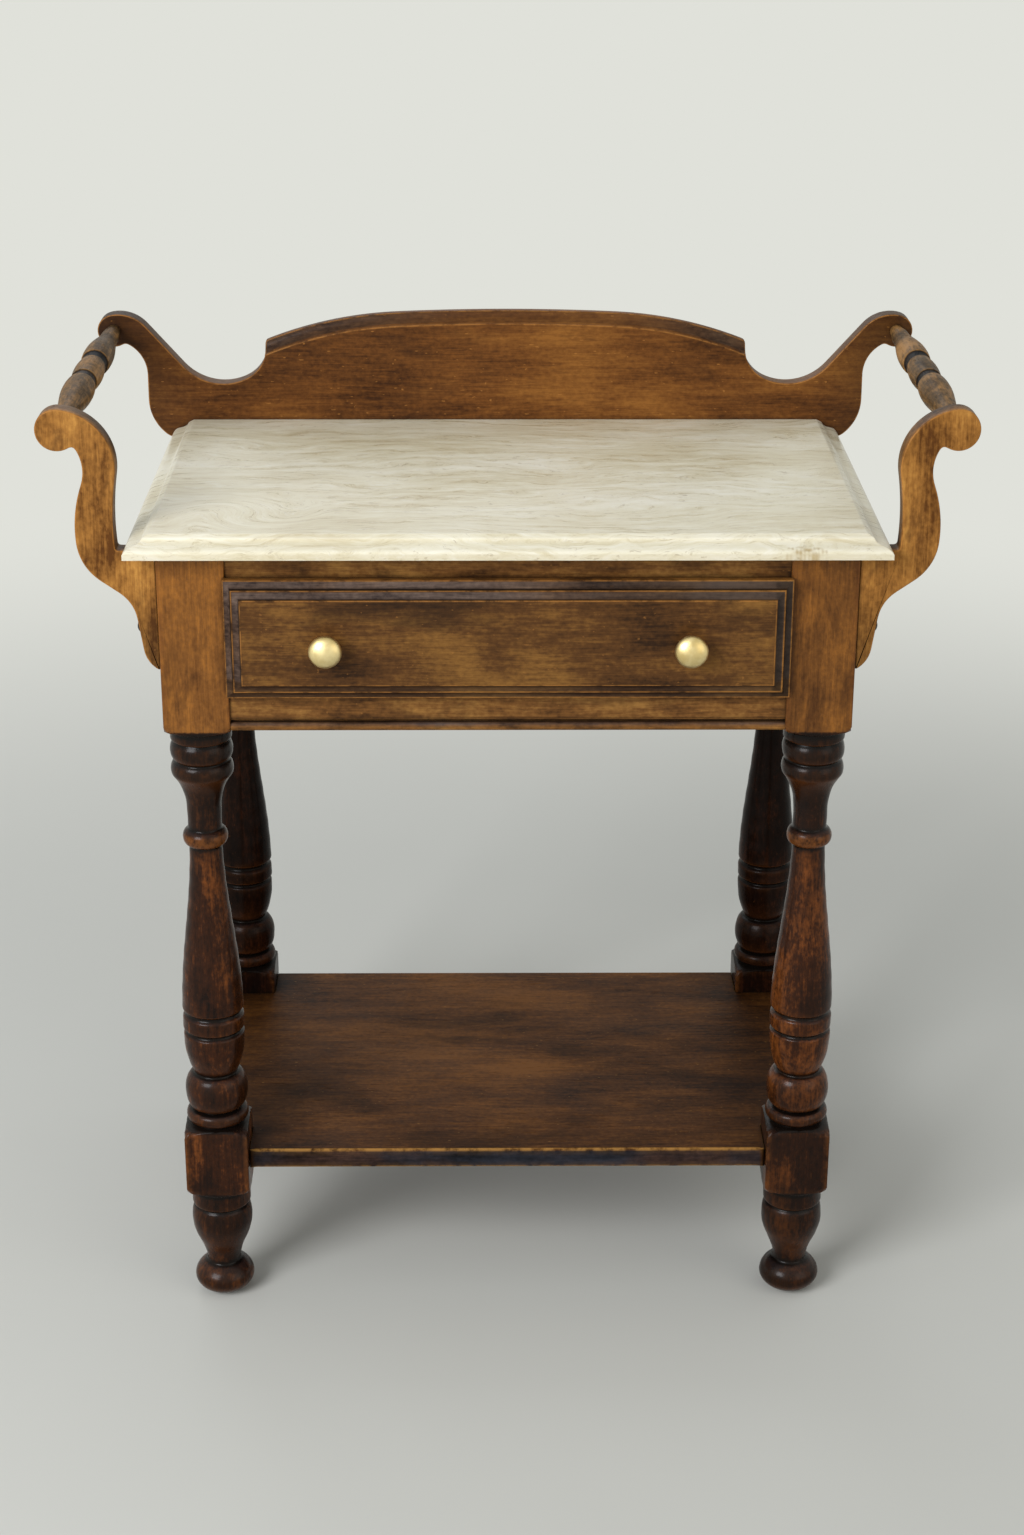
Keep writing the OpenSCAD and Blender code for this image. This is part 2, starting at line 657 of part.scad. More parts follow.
// --- Shelf --------------------------------------------------------------------------------
module shelf() {
    centred() color(dark_walnut) difference() {
        union() {
            translate([-shelf_edge_x, shelf_set_back + shelf_nose_r, shelf_z - shelf_t])
                cube([2 * shelf_edge_x, case_d - 2 * shelf_set_back - shelf_nose_r, shelf_t]);
            translate([-shelf_edge_x, shelf_set_back, shelf_z - shelf_t + shelf_nose_r])
                cube([2 * shelf_edge_x, 2 * shelf_nose_r, shelf_t - 2 * shelf_nose_r]);
            for (z = [shelf_z - shelf_nose_r, shelf_z - shelf_t + shelf_nose_r])
                translate([-shelf_edge_x, shelf_set_back + shelf_nose_r, z])
                    rotate([0, 90, 0]) cylinder(r = shelf_nose_r, h = 2 * shelf_edge_x);
        }
        both_sides() for (y = [-over, back_leg_y - glue_gap])
            translate([leg_in - glue_gap, y, shelf_z - shelf_t - over])
                cube([leg_side, leg_side + over + glue_gap, shelf_t + 2 * over]);
        both_sides() for (y = [leg_side / 2, case_d - leg_side / 2]) shelf_dowel(y, glue_gap);
    }
}

module shelf_dowel(y, grow = 0) {
    translate([leg_in - dowel_half - grow, y, shelf_z - shelf_t / 2]) rotate([0, 90, 0])
        cylinder(d = dowel_d + 2 * grow, h = dowel_l + 2 * grow);
}

module shelf_dowels() {
    centred() color(pale_wood) both_sides()
        for (y = [leg_side / 2, case_d - leg_side / 2]) shelf_dowel(y);
}

// --- Stone top ----------------------------------------------------------------------------
// Half section of the moulding, from the lower edge inward and up
function stone_edge() =
    let (w = stone_mould_w - stone_flat_w, h = stone_t - stone_lip_h - stone_step_h, wave = 0.08)
    concat([[0, 0], [0, stone_lip_h]],
        [for (k = [1 : 8]) let (t = k / 8) [w * (t - wave * sin(360 * t)),
            stone_lip_h + h * (t + wave * sin(360 * t))]],
        [[stone_mould_w, stone_t - stone_step_h], [stone_mould_w, stone_t]]);

module stone_top() {
    right = [for (p = stone_edge()) [stone_w / 2 - p[0], p[1]]];
    left = [for (k = [len(right) - 1 : -1 : 0]) [-right[k][0], right[k][1]]];
    front = [for (p = stone_edge()) [p[0], p[1]]];
    centred() color(cream_stone) translate([0, -stone_front, case_h]) intersection() {
        translate([0, stone_d, 0]) rotate([90, 0, 0]) linear_extrude(stone_d) polygon(concat(right, left));
        translate([-stone_w / 2, 0, 0]) rotate([90, 0, 90]) linear_extrude(stone_w)
            polygon(concat(front, [[stone_d, stone_t], [stone_d, 0]]));
    }
}

// --- Arms, splashback and towel bars ------------------------------------------------------
module arm_outline() {
    intersection() {
        polygon(concat([[-leg_side / 2, 0]], outline([ledge_l, 0], arm_heading, arm_path)));
        translate([0, -case_h]) square([case_w, 2 * case_h]);
    }
}

// Puts an outline drawn in X and Z into a board of a given thickness
module upright_board(y, t) {
    translate([0, y + t, 0]) rotate([90, 0, 0]) linear_extrude(t) children();
}

module towel_arm_right() {
    centred() color(honey) difference() {
        upright_board(arm_y, arm_t) translate([half_w, case_h]) arm_outline();
        bar_pins(glue_gap);
        arm_screw_shank(glue_gap);
        translate([half_w + arm_screw_seat, arm_mid_y, case_h - arm_screw_drop]) rotate([0, 90, 0])
            cylinder(d = arm_screw_head_d + 1, h = ledge_l);
        arm_dowel(glue_gap);
    }
}

module towel_arm_left() { mirror([1, 0, 0]) towel_arm_right(); }

module arm_screw_shank(grow = 0) {
    translate([half_w + arm_screw_seat - arm_screw_l - grow, arm_mid_y, case_h - arm_screw_drop])
        rotate([0, 90, 0]) cylinder(d = arm_screw_d + 2 * grow, h = arm_screw_l + 2 * grow);
}

module arm_dowel(grow = 0) {
    translate([half_w - dowel_half - grow, arm_mid_y, case_h - arm_screw_drop / 2]) rotate([0, 90, 0])
        cylinder(d = dowel_d + 2 * grow, h = dowel_l + 2 * grow);
}

module arm_dowels() {
    centred() color(pale_wood) both_sides() arm_dowel();
}

module arm_screws() {
    head_r0 = arm_screw_head_d / 2;
    ball_r = (head_r0 * head_r0 + arm_screw_head_t * arm_screw_head_t) / (2 * arm_screw_head_t);
    centred() color(dark_steel) both_sides() {
        arm_screw_shank();
        translate([half_w + arm_screw_seat, arm_mid_y, case_h - arm_screw_drop]) rotate([0, 90, 0])
            intersection() {
                translate([0, 0, arm_screw_head_t - ball_r]) sphere(r = ball_r);
                cylinder(r = head_r0, h = arm_screw_head_t);
            }
    }
}

module splash_outline() {
    arch = outline([0, crest_h], 0, crest_path);
    right = concat(splash_end, [for (k = [len(arch) - 1 : -1 : 0]) arch[k]]);
    polygon(concat(right, [for (k = [len(right) - 2 : -1 : 0]) [-right[k][0], right[k][1]]]));
}

// The hollow along the arch, a ring of round section for each of its radii. The shoulders' rings are
// a hair wider and run a little way into the middle's, so that the two always meet in a clean edge.
cove_step = 0.1;
cove_meets = 0.2;                           // in degrees
module crest_hollow(r, cove, from_angle, angle) {
    reach = r + 2 * cove;
    translate([0, splash_y, 0]) rotate([90, 0, 0]) intersection() {
        rotate([0, 0, from_angle - over])
            rotate_extrude(angle = angle + 2 * over, $fn = r > 1000 ? 2400 : 360)
                translate([r, 0]) circle(r = cove, $fn = 48);
        linear_extrude(3 * cove, center = true)
            polygon([[0, 0], reach * ahead(from_angle), reach * ahead(from_angle + angle)]);
    }
}

module splashback() {
    mid_centre = case_h + crest_h - crest_mid_r;
    end_x = (crest_mid_r - crest_end_r) * sin(crest_mid_angle);
    end_z = mid_centre + (crest_mid_r - crest_end_r) * cos(crest_mid_angle);
    centred() color(splash_brown) difference() {
        upright_board(splash_y, splash_t) translate([0, case_h]) splash_outline();
        translate([0, 0, mid_centre])
            crest_hollow(crest_mid_r, crest_cove, 90 - crest_mid_angle, 2 * crest_mid_angle);
        both_sides() translate([end_x, 0, end_z])
            crest_hollow(crest_end_r, crest_cove + cove_step, 90 - crest_mid_angle - crest_end_angle - over,
                crest_end_angle + over + cove_meets);
        both_sides() bar_pins(glue_gap);
        both_sides() for (x = [leg_in / 3, leg_mid]) splash_dowel(x, glue_gap);
    }
}

module splash_dowel(x, grow = 0) {
    translate([x, splash_y + splash_t / 2, case_h - dowel_half - grow])
        cylinder(d = dowel_d + 2 * grow, h = dowel_l + 2 * grow);
}

module splash_dowels() {
    centred() color(pale_wood) both_sides() for (x = [leg_in / 3, leg_mid]) splash_dowel(x);
}

bar_l = splash_y - arm_y - arm_t;           // between the arm and the splashback
bar_half = bar_l / 2;
bar_swell_at = bar_barrel_l / 2 + bar_hollow_l + bar_swell_l;
barrel_fall = 1.1;                          // the barrel's ends are this much thinner than its middle
hollow_edge_r = bar_barrel_d / 2 - barrel_fall;
neck_in_r = bar_neck_d / 2 + 2;             // radius where the neck begins
hollow_power = 1.6;                         // above 1 the hollow's bottom is broad
// Radius across a hollow, at t from 0 at the barrel to 1 at the swell
function hollow_r(t) = let (edge_r = t < 0.5 ? hollow_edge_r : bar_swell_d / 2 - arris, r = bar_hollow_d / 2)
    r + (edge_r - r) * pow(abs(cos(180 * t)), hollow_power);
// Half profile of a bar, from its middle to its end
bar_side = concat(
    [for (k = [0 : 6]) let (t = k / 6) [bar_barrel_d / 2 - barrel_fall * t * t, bar_barrel_l / 2 * t]],
    [for (k = [1 : 6]) [hollow_r(k / 6), bar_barrel_l / 2 + bar_hollow_l * k / 6]],
    [[bar_swell_d / 2, bar_swell_at - bar_swell_l / 2]],
    s_curve(bar_swell_at, bar_half - bar_neck_l, bar_swell_d / 2, neck_in_r),
    s_curve(bar_half - bar_neck_l + 2, bar_half, neck_in_r, bar_neck_d / 2));

// The bar lies along Y between the arm and the splashback
module on_bar_axis() {
    translate([bar_x, arm_y + arm_t + bar_half, bar_z]) rotate([-90, 0, 0]) children();
}

module bar_pins(grow = 0) {
    on_bar_axis() translate([0, 0, -bar_half - bar_pin_l - grow])
        cylinder(d = bar_pin_d + 2 * grow, h = bar_l + 2 * (bar_pin_l + grow));
}

module towel_bar_right() {
    back = [for (k = [len(bar_side) - 1 : -1 : 1]) [bar_side[k][0], -bar_side[k][1]]];
    centred() color(dark_walnut) {
        on_bar_axis() rotate_extrude() polygon(concat([[0, -bar_half]], back, bar_side, [[0, bar_half]]));
        bar_pins();
    }
}

module towel_bar_left() { mirror([1, 0, 0]) towel_bar_right(); }

// --- Drawer -------------------------------------------------------------------------------
// Dovetails evenly over a height, as drawn on a side's face: x runs out of the side, y up
module tails(l, h, grow) {
    pitch = h / tail_count;
    narrow = pitch * tail_share / 2;
    for (k = [0 : tail_count - 1])
        translate([0, pitch * (k + 0.5)])
            polygon([[-over, -narrow - grow], [0, -narrow - grow], [l + grow, -narrow - tail_spread - grow],
                [l + grow, narrow + tail_spread + grow], [0, narrow + grow], [-over, narrow + grow]]);
}

// Tails of the right drawer side, which point forward
module front_tails(grow = 0) {
    translate([drawer_w / 2 - drawer_side_t, plug_t, drawer_z]) rotate([90, 0, 90])
        linear_extrude(drawer_side_t) mirror([1, 0]) tails(front_tail_l, drawer_side_h, grow);
}

// Tails of the right drawer side into the drawer's back, which stands on the bottom
module back_tails(grow = 0) {
    translate([drawer_w / 2 - drawer_side_t, drawer_back_y, drawer_back_z]) rotate([90, 0, 90])
        linear_extrude(drawer_side_t) tails(drawer_side_t, drawer_z + drawer_side_h - drawer_back_z, grow);
}

module drawer_side_right() {
    centred() color(pale_wood) difference() {
        union() {
            translate([drawer_w / 2 - drawer_side_t, plug_t, drawer_z])
                cube([drawer_side_t, drawer_back_y - plug_t, drawer_side_h]);
            translate([drawer_w / 2 - drawer_side_t, plug_t, drawer_z])
                cube([drawer_side_t, drawer_l, drawer_back_z - glue_gap - drawer_z]);
            front_tails();
            back_tails();
        }
        bottom_panel(glue_gap);
    }
}

module drawer_side_left() { mirror([1, 0, 0]) drawer_side_right(); }

module drawer_back() {
    centred() color(pale_wood) difference() {
        translate([-drawer_w / 2, drawer_back_y, drawer_back_z])
            cube([drawer_w, drawer_side_t, drawer_z + drawer_side_h - drawer_back_z]);
        both_sides() back_tails(glue_gap);
    }
}

module bottom_panel(grow = 0) {
    x = drawer_w / 2 - drawer_side_t + drawer_groove_t;
    translate([-x - grow, plug_t - drawer_groove_t - grow, drawer_z + drawer_groove_z - grow])
        cube([2 * (x + grow), drawer_end - plug_t + drawer_groove_t + 2 * grow, drawer_bottom_t + 2 * grow]);
}

module drawer_bottom() { centred() color(pale_wood) bottom_panel(); }

// Section of the moulded edge, [inward, forward] from the back of the lip: the lip, a hollow,
// a fine ridge, a second hollow and the field
function hollow(x, y, w, t) = [for (k = [0 : 8]) let (a = 90 * k / 8) [x + w * sin(a), y + t * (1 - cos(a))]];
moulded_edge = concat([[0, 0]], hollow(0, lip_t, cove_w, cove_outer_t),
    hollow(cove_w + cove_ridge, lip_t + cove_outer_t, cove_w, cove_inner_t));

// A raised panel's section across a width w
function raised_section(w) = concat([for (p = moulded_edge) [w / 2 - p[0], -p[1]]],
    [for (k = [len(moulded_edge) - 1 : -1 : 0]) [moulded_edge[k][0] - w / 2, -moulded_edge[k][1]]]);

module drawer_front() {
    plug_h = opening_h - 2 * drawer_gap;
    centred() color(olive_brown) difference() {
        union() {
            translate([0, -slide_gap, 0]) intersection() {
                translate([0, 0, lip_z]) linear_extrude(lip_h) polygon(raised_section(lip_w));
                translate([-lip_w / 2, 0, lip_z + lip_h / 2]) rotate([90, 0, 90])
                    linear_extrude(lip_w) rotate([0, 0, -90]) polygon(raised_section(lip_h));
            }
            translate([-drawer_w / 2, -slide_gap, opening_z + drawer_gap])
                cube([drawer_w, plug_t + slide_gap, plug_h]);
        }
        both_sides() front_tails(glue_gap);
        bottom_panel(glue_gap);
        for (side = [-1, 1]) knob_axis(side) translate([0, 0, -front_t - over])
            cylinder(d = knob_screw_d + 2 * glue_gap, h = front_t + 2 * over);
    }
}

// Knob axes: z runs forward from the field
module knob_axis(side) {
    translate([side * (lip_w / 2 - knob_inset), field_y - slide_gap, knob_z]) rotate([90, 0, 0]) children();
}

module knob(side) {
    foot_t = 2;
    rim_t = 2.2;
    head_z = knob_l - knob_head_t;
    profile = concat([[0, 0], [knob_foot_d / 2, 0], [knob_foot_d / 2, foot_t / 2]],
        s_curve(foot_t, 2.5 * foot_t, knob_foot_d / 2 - foot_t / 4, knob_neck_d / 2),
        s_curve(3 * foot_t, head_z, knob_neck_d / 2, knob_d / 2 - foot_t / 2),
        oval(head_z + rim_t, 0, knob_head_t - rim_t, knob_d / 2, 0, 90));
    centred() color(brass) knob_axis(side) difference() {
        rotate_extrude() polygon(profile);
        translate([0, 0, -over]) cylinder(d = knob_screw_d + 2 * glue_gap, h = knob_l / 2 + over);
    }
}

module knob_right() { knob(1); }
module knob_left() { knob(-1); }

module knob_screws() {
    centred() color(dark_steel) for (side = [-1, 1]) knob_axis(side) {
        translate([0, 0, -front_t]) cylinder(d = knob_screw_d, h = front_t + knob_l / 2 - glue_gap);
        translate([0, 0, -front_t - knob_screw_d / 2]) cylinder(d = 2 * knob_screw_d, h = knob_screw_d / 2);
    }
}

leg_front_left();
leg_front_right();
leg_back_left();
leg_back_right();
side_apron_left();
side_apron_right();
back_apron();
top_front_rail();
bottom_front_rail();
shelf();
shelf_dowels();
stone_top();
splashback();
splash_dowels();
towel_arm_left();
towel_arm_right();
arm_screws();
arm_dowels();
towel_bar_left();
towel_bar_right();
drawer_runner_left();
drawer_runner_right();
drawer_guide_left();
drawer_guide_right();
drawer_kicker_left();
drawer_kicker_right();
runner_screws();
drawer_front();
drawer_side_left();
drawer_side_right();
drawer_back();
drawer_bottom();
knob_left();
knob_right();
knob_screws();
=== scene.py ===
import bmesh
import bpy
import numpy as np
from math import cos, radians, sin
from mathutils import Matrix, Vector


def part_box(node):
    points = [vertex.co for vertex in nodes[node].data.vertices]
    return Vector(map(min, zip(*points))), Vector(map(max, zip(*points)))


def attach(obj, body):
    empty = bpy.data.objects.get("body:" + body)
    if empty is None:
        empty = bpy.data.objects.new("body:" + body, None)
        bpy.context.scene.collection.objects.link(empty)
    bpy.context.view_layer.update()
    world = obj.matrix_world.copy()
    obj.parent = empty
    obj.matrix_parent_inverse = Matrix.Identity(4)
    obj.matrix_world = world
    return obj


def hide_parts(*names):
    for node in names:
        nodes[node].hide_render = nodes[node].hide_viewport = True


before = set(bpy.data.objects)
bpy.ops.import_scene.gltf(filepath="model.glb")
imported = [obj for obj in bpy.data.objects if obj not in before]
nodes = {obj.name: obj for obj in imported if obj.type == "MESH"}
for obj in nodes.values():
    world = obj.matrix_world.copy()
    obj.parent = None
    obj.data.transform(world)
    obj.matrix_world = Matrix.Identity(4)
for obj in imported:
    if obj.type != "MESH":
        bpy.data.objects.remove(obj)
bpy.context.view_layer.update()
print("frame loaded:", len(nodes), "nodes")


def linear(code):
    # a colour written as #rrggbb, in the linear values that the shaders want
    part = np.array([int(code[k:k + 2], 16) for k in (1, 3, 5)]) / 255
    part = np.where(part <= 0.04045, part / 12.92, ((part + 0.055) / 1.055) ** 2.4)
    return (*part, 1.0)


def soften(values, width, mode="edge"):
    # running average with a bell-shaped window, width in samples; mode "wrap" for a closed line
    reach = int(3 * width) + 1
    bell = np.exp(-0.5 * (np.arange(-reach, reach + 1) / width) ** 2)
    return np.convolve(np.pad(values, reach, mode=mode), bell / bell.sum(), mode="valid")


def ramp(values, low, high):
    # 0 below low, 1 above high, smooth between
    t = np.clip((values - low) / (high - low), 0, 1)
    return t * t * (3 - 2 * t)


def hump(values, middle, width):
    # a bell that is 1 at the middle
    return np.exp(-((values - middle) / width) ** 2)


def band(values, start, full, fade, end):
    # 1 from full to fade, 0 before start and past end
    return ramp(values, start, full) * (1 - ramp(values, fade, end))


def evenPlaces(stride, places, count):
    # so many places with an equal share of the stride between them
    walked = np.cumsum(stride)
    return np.interp(np.linspace(walked[0], walked[-1], count), walked, places)


def corners(node):
    return np.array([v.co for v in nodes[node].data.vertices])


def finishPiece(piece, body, material, slotName, *replaced):
    bpy.context.scene.collection.objects.link(piece)
    piece.data.materials.append(material)
    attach(piece, body)
    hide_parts(*replaced)


def gridFaces(index):
    sides = (index[:-1, :-1], index[:-1, 1:], index[1:, 1:], index[1:, :-1])
    return np.stack(sides, axis=-1).reshape(-1, 4).tolist()


def numbered(shape):
    return np.arange(shape[0] * shape[1]).reshape(shape[:2])


def tubeFaces(shape):
    # rows of closed rings, with a flat cap at each end
    index = numbered(shape)
    closed = np.concatenate([index, index[:, :1]], axis=1)
    return gridFaces(closed) + [index[0].tolist(), index[-1].tolist()]


def sheetFaces(shape):
    # a grid, and one face that closes it along its border
    index = numbered(shape)
    border = np.concatenate([index[0, :-1], index[:-1, -1], index[-1, :0:-1], index[:0:-1, 0]])
    return gridFaces(index) + [border.tolist()]


weld = {"join": 3e-6, "collapse": 2e-6}


def closedMesh(name, points, faces, values, sharp=50):
    # points and faces joined where they meet, open borders filled, and every face turned outward
    mesh = bpy.data.meshes.new(name)
    mesh.from_pydata(points.reshape(-1, 3).tolist(), [], faces)
    for key, value in values.items():
        own = mesh.attributes.new(key, "FLOAT", "POINT")
        own.data.foreach_set("value", value.astype(np.float32).ravel())
    solid = bmesh.new()
    solid.from_mesh(mesh)
    bmesh.ops.remove_doubles(solid, verts=solid.verts, dist=weld["join"])
    bmesh.ops.dissolve_degenerate(solid, edges=solid.edges, dist=weld["collapse"])
    border = [e for e in solid.edges if e.is_boundary]
    if border:
        bmesh.ops.holes_fill(solid, edges=border, sides=0)
    bmesh.ops.triangulate(solid, faces=[f for f in solid.faces if len(f.verts) > 4])
    bmesh.ops.recalc_face_normals(solid, faces=solid.faces)
    solid.to_mesh(mesh)
    solid.free()
    mesh.shade_smooth()
    mesh.set_sharp_from_angle(angle=radians(sharp))
    return bpy.data.objects.new(name, mesh)


class Term:
    # one value or colour in a material; sums on it add Math nodes
    def __init__(self, finish, socket):
        self.finish, self.socket = finish, socket

    def sum(self, operation, first, second):
        return self.finish.node("Math", {"operation": operation}, {0: first, 1: second})

    def __add__(self, other): return self.sum("ADD", self, other)
    def __radd__(self, other): return self.sum("ADD", other, self)
    def __sub__(self, other): return self.sum("SUBTRACT", self, other)
    def __rsub__(self, other): return self.sum("SUBTRACT", other, self)
    def __mul__(self, other): return self.sum("MULTIPLY", self, other)
    def __rmul__(self, other): return self.sum("MULTIPLY", other, self)


class Finish:
    # the nodes of a material or of the world
    def __init__(self, owner):
        self.owner = owner
        owner.use_nodes = True
        self.tree = owner.node_tree
        self.tree.nodes.clear()
        self.coords = self.node("TexCoord", {}, {}, "Object")

    def node(self, kind, settings, sockets, out=0):
        made = self.tree.nodes.new("ShaderNode" + kind)
        for key, value in settings.items():
            if key == "stops":
                while len(made.color_ramp.elements) < len(value):
                    made.color_ramp.elements.new(0.5)
                for element, (place, colour) in zip(made.color_ramp.elements, value):
                    element.position, element.color = place, colour
            else:
                setattr(made, key, value)
        for key, value in sockets.items():
            if isinstance(value, Term):
                self.tree.links.new(value.socket, made.inputs[key])
            else:
                made.inputs[key].default_value = value
        return Term(self, made.outputs[out]) if made.outputs else None

    def placed(self, stretch, move=(0, 0, 0), coords=None):
        return self.node("Mapping", {}, {"Vector": coords or self.coords, "Scale": stretch,
                                         "Location": move})

    def part(self, vector, axis):
        return self.node("SeparateXYZ", {}, {0: vector}, axis)

    def noise(self, coords, size, detail=2.0, rough=0.5, warp=0.0):
        return self.node("TexNoise", {}, {"Vector": coords, "Scale": 1 / size, "Detail": detail,
                                          "Roughness": rough, "Distortion": warp})

    def step(self, value, low, high):
        return self.node("MapRange", {"interpolation_type": "SMOOTHSTEP"},
                         {"Value": value, "From Min": low, "From Max": high})

    def blend(self, share, first, second):
        # the Mix node names its sockets alike for every type, so its colour sockets are counted
        return self.node("Mix", {"data_type": "RGBA"}, {0: share, 6: first, 7: second}, 2)

    def shades(self, value, *stops):
        return self.node("ValToRGB", {"stops": [(place, linear(code)) for place, code in stops]},
                         {"Fac": value}, "Color")

    def attribute(self, name):
        return self.node("Attribute", {"attribute_name": name}, {}, "Fac")

    def close(self, surface):
        self.node("OutputMaterial", {}, {"Surface": surface})
        return self.owner


def woodFinish(name, along, look, move):
    # varnished hardwood: patches, figure and grain drawn out along one axis, dark clouds and short dashes,
    # then stain and painted sheen in hollows, wear with painted highlights on arrises, grime and painted
    # shade in hollows and nooks, a painted cool sheen on what faces up, and painted shading on what faces
    # down
    wood = Finish(bpy.data.materials.new(name))

    def layer(draw, size, detail, rough=0.5, warp=0.0, coords=None):
        stretch = [1 / draw if k == along else 1.0 for k in range(3)]
        return wood.noise(wood.placed(stretch, move, coords), size, detail, rough, warp)

    sway = layer(3, 0.11, 2.0)
    shift = wood.node("CombineXYZ", {}, {k: (sway - 0.5) * look["sway"] for k in range(3) if k != along})
    bent = wood.node("VectorMath", {"operation": "ADD"}, {0: wood.coords, 1: shift})
    patch = layer(1.8, look["patchSize"], 3.0, 0.55, 0.6)
    figure = layer(look["draw"], look["figure"], 4.0, 0.6, 0.4, bent)
    grain = layer(14, look["grain"], 3.0, 0.6, coords=bent)
    fibre = layer(26, look["grain"] / 3.2, 2.0, 0.6, coords=bent)
    mottle = layer(1.4, look["mottle"], 3.0, 0.6)
    cloud = layer(2.2, look["cloud"], 5.0, 0.62, 0.5)
    dashes = wood.step(layer(9, 0.0016, 1.0, coords=bent), 0.60, 0.72)
    tone = 0.5 - sum(look["weights"]) / 2
    for part, weight in zip((patch, figure, grain, fibre, mottle), look["weights"]):
        tone = part * weight + tone
    tone = wood.attribute("faded") * look["faded"] + tone

    def toned(*stops):
        places = np.linspace(0.5 - look["spread"], 0.5 + look["spread"], len(stops))
        return wood.shades(tone, *zip(places.tolist(), stops))

    place = {axis: wood.part(wood.coords, axis) for axis in (0, 2)}
    shadeAndDirtColour, wearHighlightColour, smoky = (linear(look[key]) for key in ("grimeAndShadeTint", "wearAndHighlightTint", "smoke"))
    colour = toned(look["dark"], look["mid"], look["light"])
    # some shades are painted shade: the shelf's ends beside the legs, and the legs below their top blocks
    for axis, start, end, share in look["shades"]:  # darker toward an end or at some height
        reach = wood.node("Math", {"operation": "ABSOLUTE"}, {0: place[axis]})
        colour = wood.blend(wood.step(reach, start, end) * share, colour, shadeAndDirtColour)
    burnt = wood.step(cloud, look["burnFrom"], look["burnFrom"] + 0.14) * look["burn"]
    colour = wood.blend(burnt, colour, smoky)
    if "upper" in look:  # another tone above a height
        upper = look["upper"]
        other = wood.blend(burnt * upper["burn"], toned(upper["dark"], upper["mid"], upper["light"]),
                           linear(upper["smoke"]))
        above = wood.step(place[2] + (mottle - 0.5) * 0.002, upper["from"], upper["from"] + 0.002)
        colour = wood.blend(above, colour, other)
    colour = wood.blend(dashes * look["dash"], colour, smoky)
    pale = wood.step(layer(2, 0.0022, 0.0), 0.80, 0.84)
    colour = wood.blend(pale * look["fleck"], colour, wearHighlightColour)
    # stain in hollows and on edges; its grey tints on the drawer's coves, the bead's top and the splashback's
    # hollow are a painted sheen
    stain = wood.attribute("stain") * (0.6 + 0.4 * wood.step(cloud, 0.35, 0.6))
    colour = wood.blend(stain * look["stain"], colour, toned(look["stainAndSheenDark"], look["stainAndSheenTint"]))
    # painted light by facing: a cool sheen on what faces up, and painted shading, warm or dark by look, on
    # what faces down
    lift = wood.part(wood.node("TexCoord", {}, {}, "Normal"), 2)
    colour = wood.blend(wood.step(lift, 0.15, 0.9) * look["paintedSheen"], colour, linear(look["paintedSheenTint"]))
    colour = wood.blend(wood.step(lift, -0.1, -0.8) * look["paintedUnderside"], colour, linear(look["paintedUndersideTint"]))
    warm = wood.attribute("warm") * wood.step(mottle, 0.25, 0.6)
    colour = wood.blend(warm * look["warm"], colour, wearHighlightColour)
    # lighter arrises and crests: wear and painted highlight
    rubbedAndLit = wood.attribute("wear") * wood.step(layer(1, 0.014, 4.0, 0.7), 0.34, 0.58)
    colour = wood.blend(rubbedAndLit * look["wear"], colour, wearHighlightColour)
    # darker hollows, grooves and creases: grime and painted shade
    colour = wood.blend(wood.attribute("grime") * look["grime"], colour, shadeAndDirtColour)
    # painted shade from ambient occlusion in nooks and at joints, standing also for grime there
    occlusion = wood.node("AmbientOcclusion", {"samples": 6}, {"Distance": look["nookGrimeAndShadeSize"]}, "AO")
    colour = wood.blend((1 - wood.step(occlusion, 0.2, 0.85)) * look["nookGrimeAndShade"], colour, shadeAndDirtColour)
    rough = wood.step(cloud, 0.3, 0.7) * 0.10 + look["rough"] + dashes * 0.15
    bump = wood.node("Bump", {}, {"Strength": look["bump"], "Distance": 0.0004,
                                  "Height": fibre * 0.3 + grain * 0.35 - dashes * 0.4})
    return wood.close(wood.node("BsdfPrincipled", {}, {
        "Base Color": colour, "Roughness": rough, "Normal": bump, "Coat Weight": look["coat"],
        "Coat Roughness": 0.16, "Specular IOR Level": look["shine"]}))


# dark, mid and light are the wood's own colours, and smoke that of its clouds. Sizes are in metres and
# shares from 0 to 1. Each of the shades is an axis, where it starts, where it is full, and its share.
plainLook = {
    "dark": "#33200f", "mid": "#64431f", "light": "#936832", "smoke": "#1a120c", "wearAndHighlightTint": "#b0783a",
    "grimeAndShadeTint": "#0a0705", "paintedSheenTint": "#5a5a60", "paintedUndersideTint": "#6b3c1c", "stainAndSheenTint": "#4a3d2f",
    "stainAndSheenDark": "#171010", "weights": (0.8, 0.5, 0.32, 0.18, 0.34), "patchSize": 0.10, "shades": (),
    "spread": 0.20, "figure": 0.028, "draw": 4.0, "grain": 0.0034, "mottle": 0.004, "cloud": 0.06,
    "sway": 0.012, "burn": 0.5, "burnFrom": 0.52, "dash": 0.18, "fleck": 0.25, "paintedSheen": 0.0, "paintedUnderside": 0.0,
    "wear": 0.7, "warm": 0.7, "stain": 0.85, "grime": 0.9, "faded": 0.13, "nookGrimeAndShade": 0.9, "nookGrimeAndShadeSize": 0.008,
    "rough": 0.42, "bump": 0.3, "coat": 0.03, "shine": 0.11}
armLook = {
    **plainLook, "dark": "#5a3511", "mid": "#9c6a30", "light": "#c68f46", "cloud": 0.035,
    "burnFrom": 0.56, "smoke": "#3a2010", "shades": ((2, 0.745, 0.66, 0.5),)}
